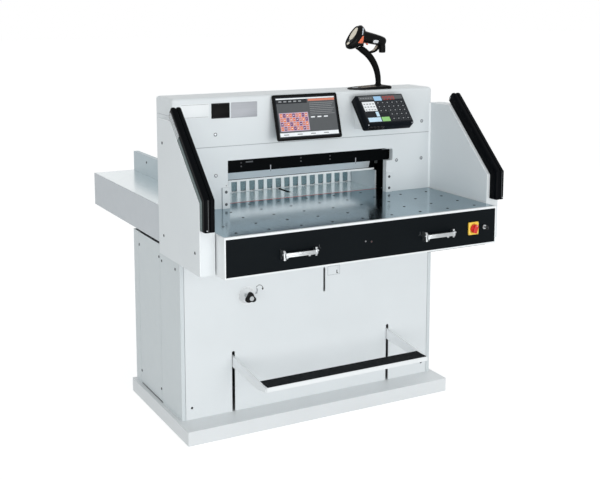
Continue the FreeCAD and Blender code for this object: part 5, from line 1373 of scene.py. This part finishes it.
def fence_details():
    """The fence's fins, and between each two a foot and a dark panel with dark edge lines, painted
    shade.
    """
    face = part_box("gauge_fence")[0].y
    foot = FENCE_FOOT
    shape = Shape()
    fins = [(i - 8.5) * FIN_PITCH for i in range(18)]
    for x in fins:
        shape.prism([(x - 8.6 * mm, foot), (x + 8.6 * mm, foot), (x + 7.4 * mm, foot + 30.0 * mm),
                     (x + 7.1 * mm, FIN_TOP), (x - 7.1 * mm, FIN_TOP),
                     (x - 7.4 * mm, foot + 30.0 * mm)], (0, face - 1.2 * mm, 0), ACROSS, UP,
                    BACK * 1.4 * mm, 0.3 * mm)
    for first, second in zip(fins, fins[1:]):
        x0, x1 = first + FIN_WIDTH / 2.0 - 0.2 * mm, second - FIN_WIDTH / 2.0 + 0.2 * mm
        outline = [(x0, PANEL_TOP), (x0, foot + 10.0 * mm), (x0 + 3.0 * mm, foot + 5.5 * mm),
                   (x0 + 9.0 * mm, foot + 3.0 * mm), (x1 - 9.0 * mm, foot + 3.0 * mm),
                   (x1 - 3.0 * mm, foot + 5.5 * mm), (x1, foot + 10.0 * mm), (x1, PANEL_TOP)]
        shape.prism(outline, (0, face + 5.0 * mm, 0), ACROSS, UP, BACK * 2.0 * mm, 0.0, 1)
        for ends in zip(outline[1:-2], outline[2:-1]):
            # Dark lines along each panel's edges, painted shade.
            shape.tube([Vector((x, face + 4.6 * mm, z)) for x, z in ends], 0.9 * mm, 6, 2)
        shape.block((x0, face + 3.0 * mm, foot), (x1, face + 9.0 * mm, foot + 2.5 * mm),
                    0.5 * mm)
    shape.piece("fence_fins", "gauge", "fin_white", ["fin_white", "fence_gap_shade", "socket_dark_and_shade"])


def guide_mark_and_shade_line():
    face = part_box("head_front_lower")[0].y
    shape = Shape()
    # A dark line beside the left guide block's side, painted shade.
    shape.block((-0.3945, face - 0.6 * mm, FENCE_FOOT), (-0.3932, face + 0.2 * mm, 0.9655),
                0.2 * mm, 2)
    shape.prism(in_mm((-2.4, 0.0), (2.4, 0.0), (0.0, 4.6)), (-0.3745, face + 0.1 * mm, 0.9705),
                ACROSS, UP, FRONT * 0.4 * mm, paint=1)
    shape.piece("guide_mark_and_shade_line", "machine", "dark_grey_paint",
                ["screw_steel", "print_black", "fine_line"])


def head_edge_highlight_strips():
    """The folded edges where the head meets the wings, painted whiter as a highlight, its side
    seams, and the wings' rims, white beads that are a painted highlight.
    """
    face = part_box("head_front_lower")[0].y
    shape = Shape()
    # Whiter strips at the head's front corners, a painted highlight.
    for side in (LEFT, RIGHT):
        shape.side_block(side, (0.5825, 0.5938), (face - 1.6 * mm, face + 5.0 * mm),
                         (STRIP_FOOT, 1.2515), 1.4 * mm, 3)
    shape.piece("head_edge_highlight_strips", "machine", "white_paint", ["white_and_highlight"])
    low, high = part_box("head_cover")
    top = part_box("wing_left")[1]
    shape = Shape()
    for x in (low.x, high.x):
        shape.block((x - 0.25 * mm, top.y - 4.0 * mm, top.z + 0.1 * mm),
                    (x + 0.25 * mm, high.y - 8.0 * mm, top.z + 1.3 * mm))
    shape.piece("head_side_seams", "machine", "light_paint", ["fine_line"])
    shape = Shape()
    # White beads along the wings' inner front edges, a painted highlight.
    for x in (-0.6502, -0.5948, 0.5948, 0.6502):
        shape.tube([Vector((0, y, z)) + ACROSS * x for y, z in
                    ((-0.5812, 0.7380), (-0.5812, 0.9958), (-0.3150, 1.2530),
                     (-0.1990, 1.2530))], 1.1 * mm, 8)
    shape.piece("wing_rim_highlights", "machine", "white_paint", ["white_and_highlight"])


def cabinet_details():
    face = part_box("front_panel")[0].y
    line = 1.2 * mm
    shape = Shape()
    x0, x1, z0, z1 = 0.067, 0.125, 0.561, 0.598
    for low_x, low_z, high_x, high_z in (
            (x0, z0, x1, z0 + line), (x0, z1, x1, z1 + line), (x0, z0, x0 + line, z1),
            (x1 - line, z0, x1, z1), (x1 - 9.0 * mm, z0 + 20.0 * mm, x1 - 8.2 * mm, z1)):
        shape.block((low_x, face - 0.25 * mm, low_z), (high_x, face + 0.05 * mm, high_z))
    for high_x, high_z in ((0.1128, 0.580), (0.1165, 0.5685)):
        shape.block((0.109, face - 0.3 * mm, 0.565), (high_x, face + 0.05 * mm, high_z),
                    0.1 * mm, 1)
    mid_x, mid_z = SIGHT_MIDDLE
    outline = rounded(8.6 * mm, 101.0 * mm, 4.2 * mm, 6, 0.0467, 0.496)
    shape.loft([[Vector((x + copysign(out, x - mid_x), face - rise,
                         z + copysign(out, z - mid_z) * (abs(z - mid_z) > 0.046)))
                 for x, z in outline]
                for out, rise in in_mm((0.8, 0.0), (0.8, 0.3), (-0.6, 0.3), (-0.6, 0.0))],
               2, True)
    shape.piece("sight_plate", "machine", "dark_grey_paint",
                ["fine_line", "print_black", "socket_dark_and_shade"])
    low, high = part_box("side_hatches")
    shape = Shape()
    # Dark strips below the side hatches, painted shade in the gap.
    for x in (low.x, high.x):
        shape.block((x - 0.3 * mm, low.y - 8.0 * mm, low.z - 5.4 * mm),
                    (x + 0.3 * mm, high.y - 10.0 * mm, low.z - 1.6 * mm), 0.1 * mm)
    shape.piece("hatch_gap_shade", "machine", "dark_grey_paint", ["socket_dark_and_shade"])
    shape = Shape()
    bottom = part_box("table_box")[0].z
    for x in (0.166, 0.479, -0.166, -0.479):
        button_head(shape, Vector((x, -0.640, bottom)), -UP, 3.4 * mm, 1.4 * mm)
    # A dark strip under the table box's front edge, painted shade.
    shape.block((0.260, -0.6506, bottom - 1.3 * mm), (0.540, -0.6480, bottom + 0.1 * mm),
                0.3 * mm, 1)
    shape.piece("table_box_screws_and_shade_line", "machine", "bright_steel", ["screw_steel", "socket_dark_and_shade"])


# Foot pedal

# In millimetres
RIB_PITCH, RIB_WIDTH = 4.2, 2.4


def pedal_mat():
    low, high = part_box("pedal_mat")
    shape = Shape()
    shape.block(low, (high.x, high.y, high.z - 1.2 * mm), 0.6 * mm)
    y = low.y + 2.5 * mm
    while y + RIB_WIDTH * mm < high.y:
        shape.prism(in_mm((0.0, 0.0), (RIB_WIDTH, 0.0), (1.9, 1.4), (0.5, 1.4)),
                    (low.x + 3.0 * mm, y, high.z - 1.4 * mm), BACK, UP,
                    ACROSS * (high.x - low.x - 6.0 * mm))
        y += RIB_PITCH * mm
    shape.piece("pedal_ribs", "pedal", "rubber_black", ["rubber_black"], "pedal_mat")


# Light, floor and camera

FLOOR_REACH = 40.0
FLOOR_SHOWN = (0.42, 0.42, 0.42, 1.0)
FLOOR_GLOW = 0.76
SKY_SOFT = (0.95, 0.99, 1.0, 1.0)
SKY_STRENGTH = 0.62
LAMP_SIZE = 2.5


def camera():
    data = bpy.data.cameras.new("camera")
    data.lens = CAMERA_LENS
    data.sensor_width = CAMERA_SENSOR
    data.sensor_fit = "HORIZONTAL"
    data.shift_y = CAMERA_SHIFT
    data.clip_end = 100.0
    obj = show(bpy.data.objects.new("camera", data))
    obj.location = CAMERA_PLACE
    obj.rotation_euler = (radians(90.0 - CAMERA_TIP), 0.0, radians(-CAMERA_TURN))
    bpy.context.scene.camera = obj


def white_to_eye(owner):
    """1 for rays that show the backdrop: straight to the camera, mirrored or through glass."""
    path = add_node(owner, "ShaderNodeLightPath")
    total = path.outputs["Is Camera Ray"]
    for name in ("Is Glossy Ray", "Is Transmission Ray"):
        add = add_node(owner, "ShaderNodeMath")
        add.operation = "ADD"
        add.use_clamp = True
        link(owner, total, add.inputs[0])
        link(owner, path.outputs[name], add.inputs[1])
        total = add.outputs["Value"]
    return total


def show_backdrop(owner, mix, lit, seen, out):
    """Lights with one shader and shows the other."""
    link(owner, white_to_eye(owner), mix.inputs[0])
    link(owner, lit.outputs[0], mix.inputs[1])
    link(owner, seen.outputs[0], mix.inputs[2])
    link(owner, mix.outputs[0], out.inputs["Surface"])


def world():
    sky = bpy.data.worlds.new("studio")
    bpy.context.scene.world = sky
    sky.use_nodes = True
    sky.node_tree.nodes.clear()
    soft = add_node(sky, "ShaderNodeBackground", Color=SKY_SOFT, Strength=SKY_STRENGTH)
    white = add_node(sky, "ShaderNodeBackground", Color=(1.0, 1.0, 1.0, 1.0), Strength=1.0)
    mix = add_node(sky, "ShaderNodeMixShader")
    show_backdrop(sky, mix, soft, white, add_node(sky, "ShaderNodeOutputWorld"))


def floor():
    mesh = bpy.data.meshes.new("studio_floor")
    reach = FLOOR_REACH
    mesh.from_pydata([(-reach, -reach, 0), (reach, -reach, 0), (reach, reach, 0),
                      (-reach, reach, 0)], [], [(0, 1, 2, 3)])
    obj = show(bpy.data.objects.new("studio_floor", mesh))
    mat = bpy.data.materials.new("studio_floor")
    mat.use_nodes = True
    shader = shader_of(mat)
    for socket, value in (("Base Color", (0.74, 0.75, 0.76, 1.0)), ("Roughness", 0.9),
                          ("Specular IOR Level", 0.1)):
        shader.inputs[socket].default_value = value
    shown = add_node(mat, "ShaderNodeBsdfDiffuse", Color=FLOOR_SHOWN)
    glow = add_node(mat, "ShaderNodeEmission", Strength=FLOOR_GLOW)
    both = add_node(mat, "ShaderNodeAddShader")
    link(mat, shown.outputs[0], both.inputs[0])
    link(mat, glow.outputs[0], both.inputs[1])
    show_backdrop(mat, add_node(mat, "ShaderNodeMixShader"), shader, both,
                  mat.node_tree.nodes["Material Output"])
    mesh.materials.append(mat)


def lights():
    for name, place, aim, power in (("key", (-2.2, -4.6, 1.1), (0, -0.3, 0.8), 42.0),
                                    ("front", (0.6, -5.0, 1.1), (0, -0.3, 0.8), 60.0),
                                    ("side", (-4.0, -2.8, 0.9), (0, -0.3, 0.5), 24.0),
                                    ("back", (4.8, 2.6, 3.4), (0, 0.2, 0.7), 44.0)):
        data = bpy.data.lights.new(name, "AREA")
        data.shape = "DISK"
        data.size = LAMP_SIZE
        data.energy = power
        obj = show(bpy.data.objects.new(name, data))
        obj.location = place
        obj.rotation_euler = (Vector(aim) - Vector(place)).to_track_quat("-Z", "Y").to_euler()


for make in (camera, world, floor, lights, dress_nodes, cover_screws, air_nozzles, dial_cup,
             pressure_knob, dial_mark, main_switch, key_and_lock, triggers, trigger_brackets,
             fascia_details, head_details, knife_details, pedal_mat, tablet_case,
             tablet_picture, panel_case, panel_picture, curtains, scanner_body, scanner_stand,
             window_trim, fence_details, guide_mark_and_shade_line, head_edge_highlight_strips, cabinet_details):
    make()

scene = bpy.context.scene
scene.view_settings.view_transform = "Standard"
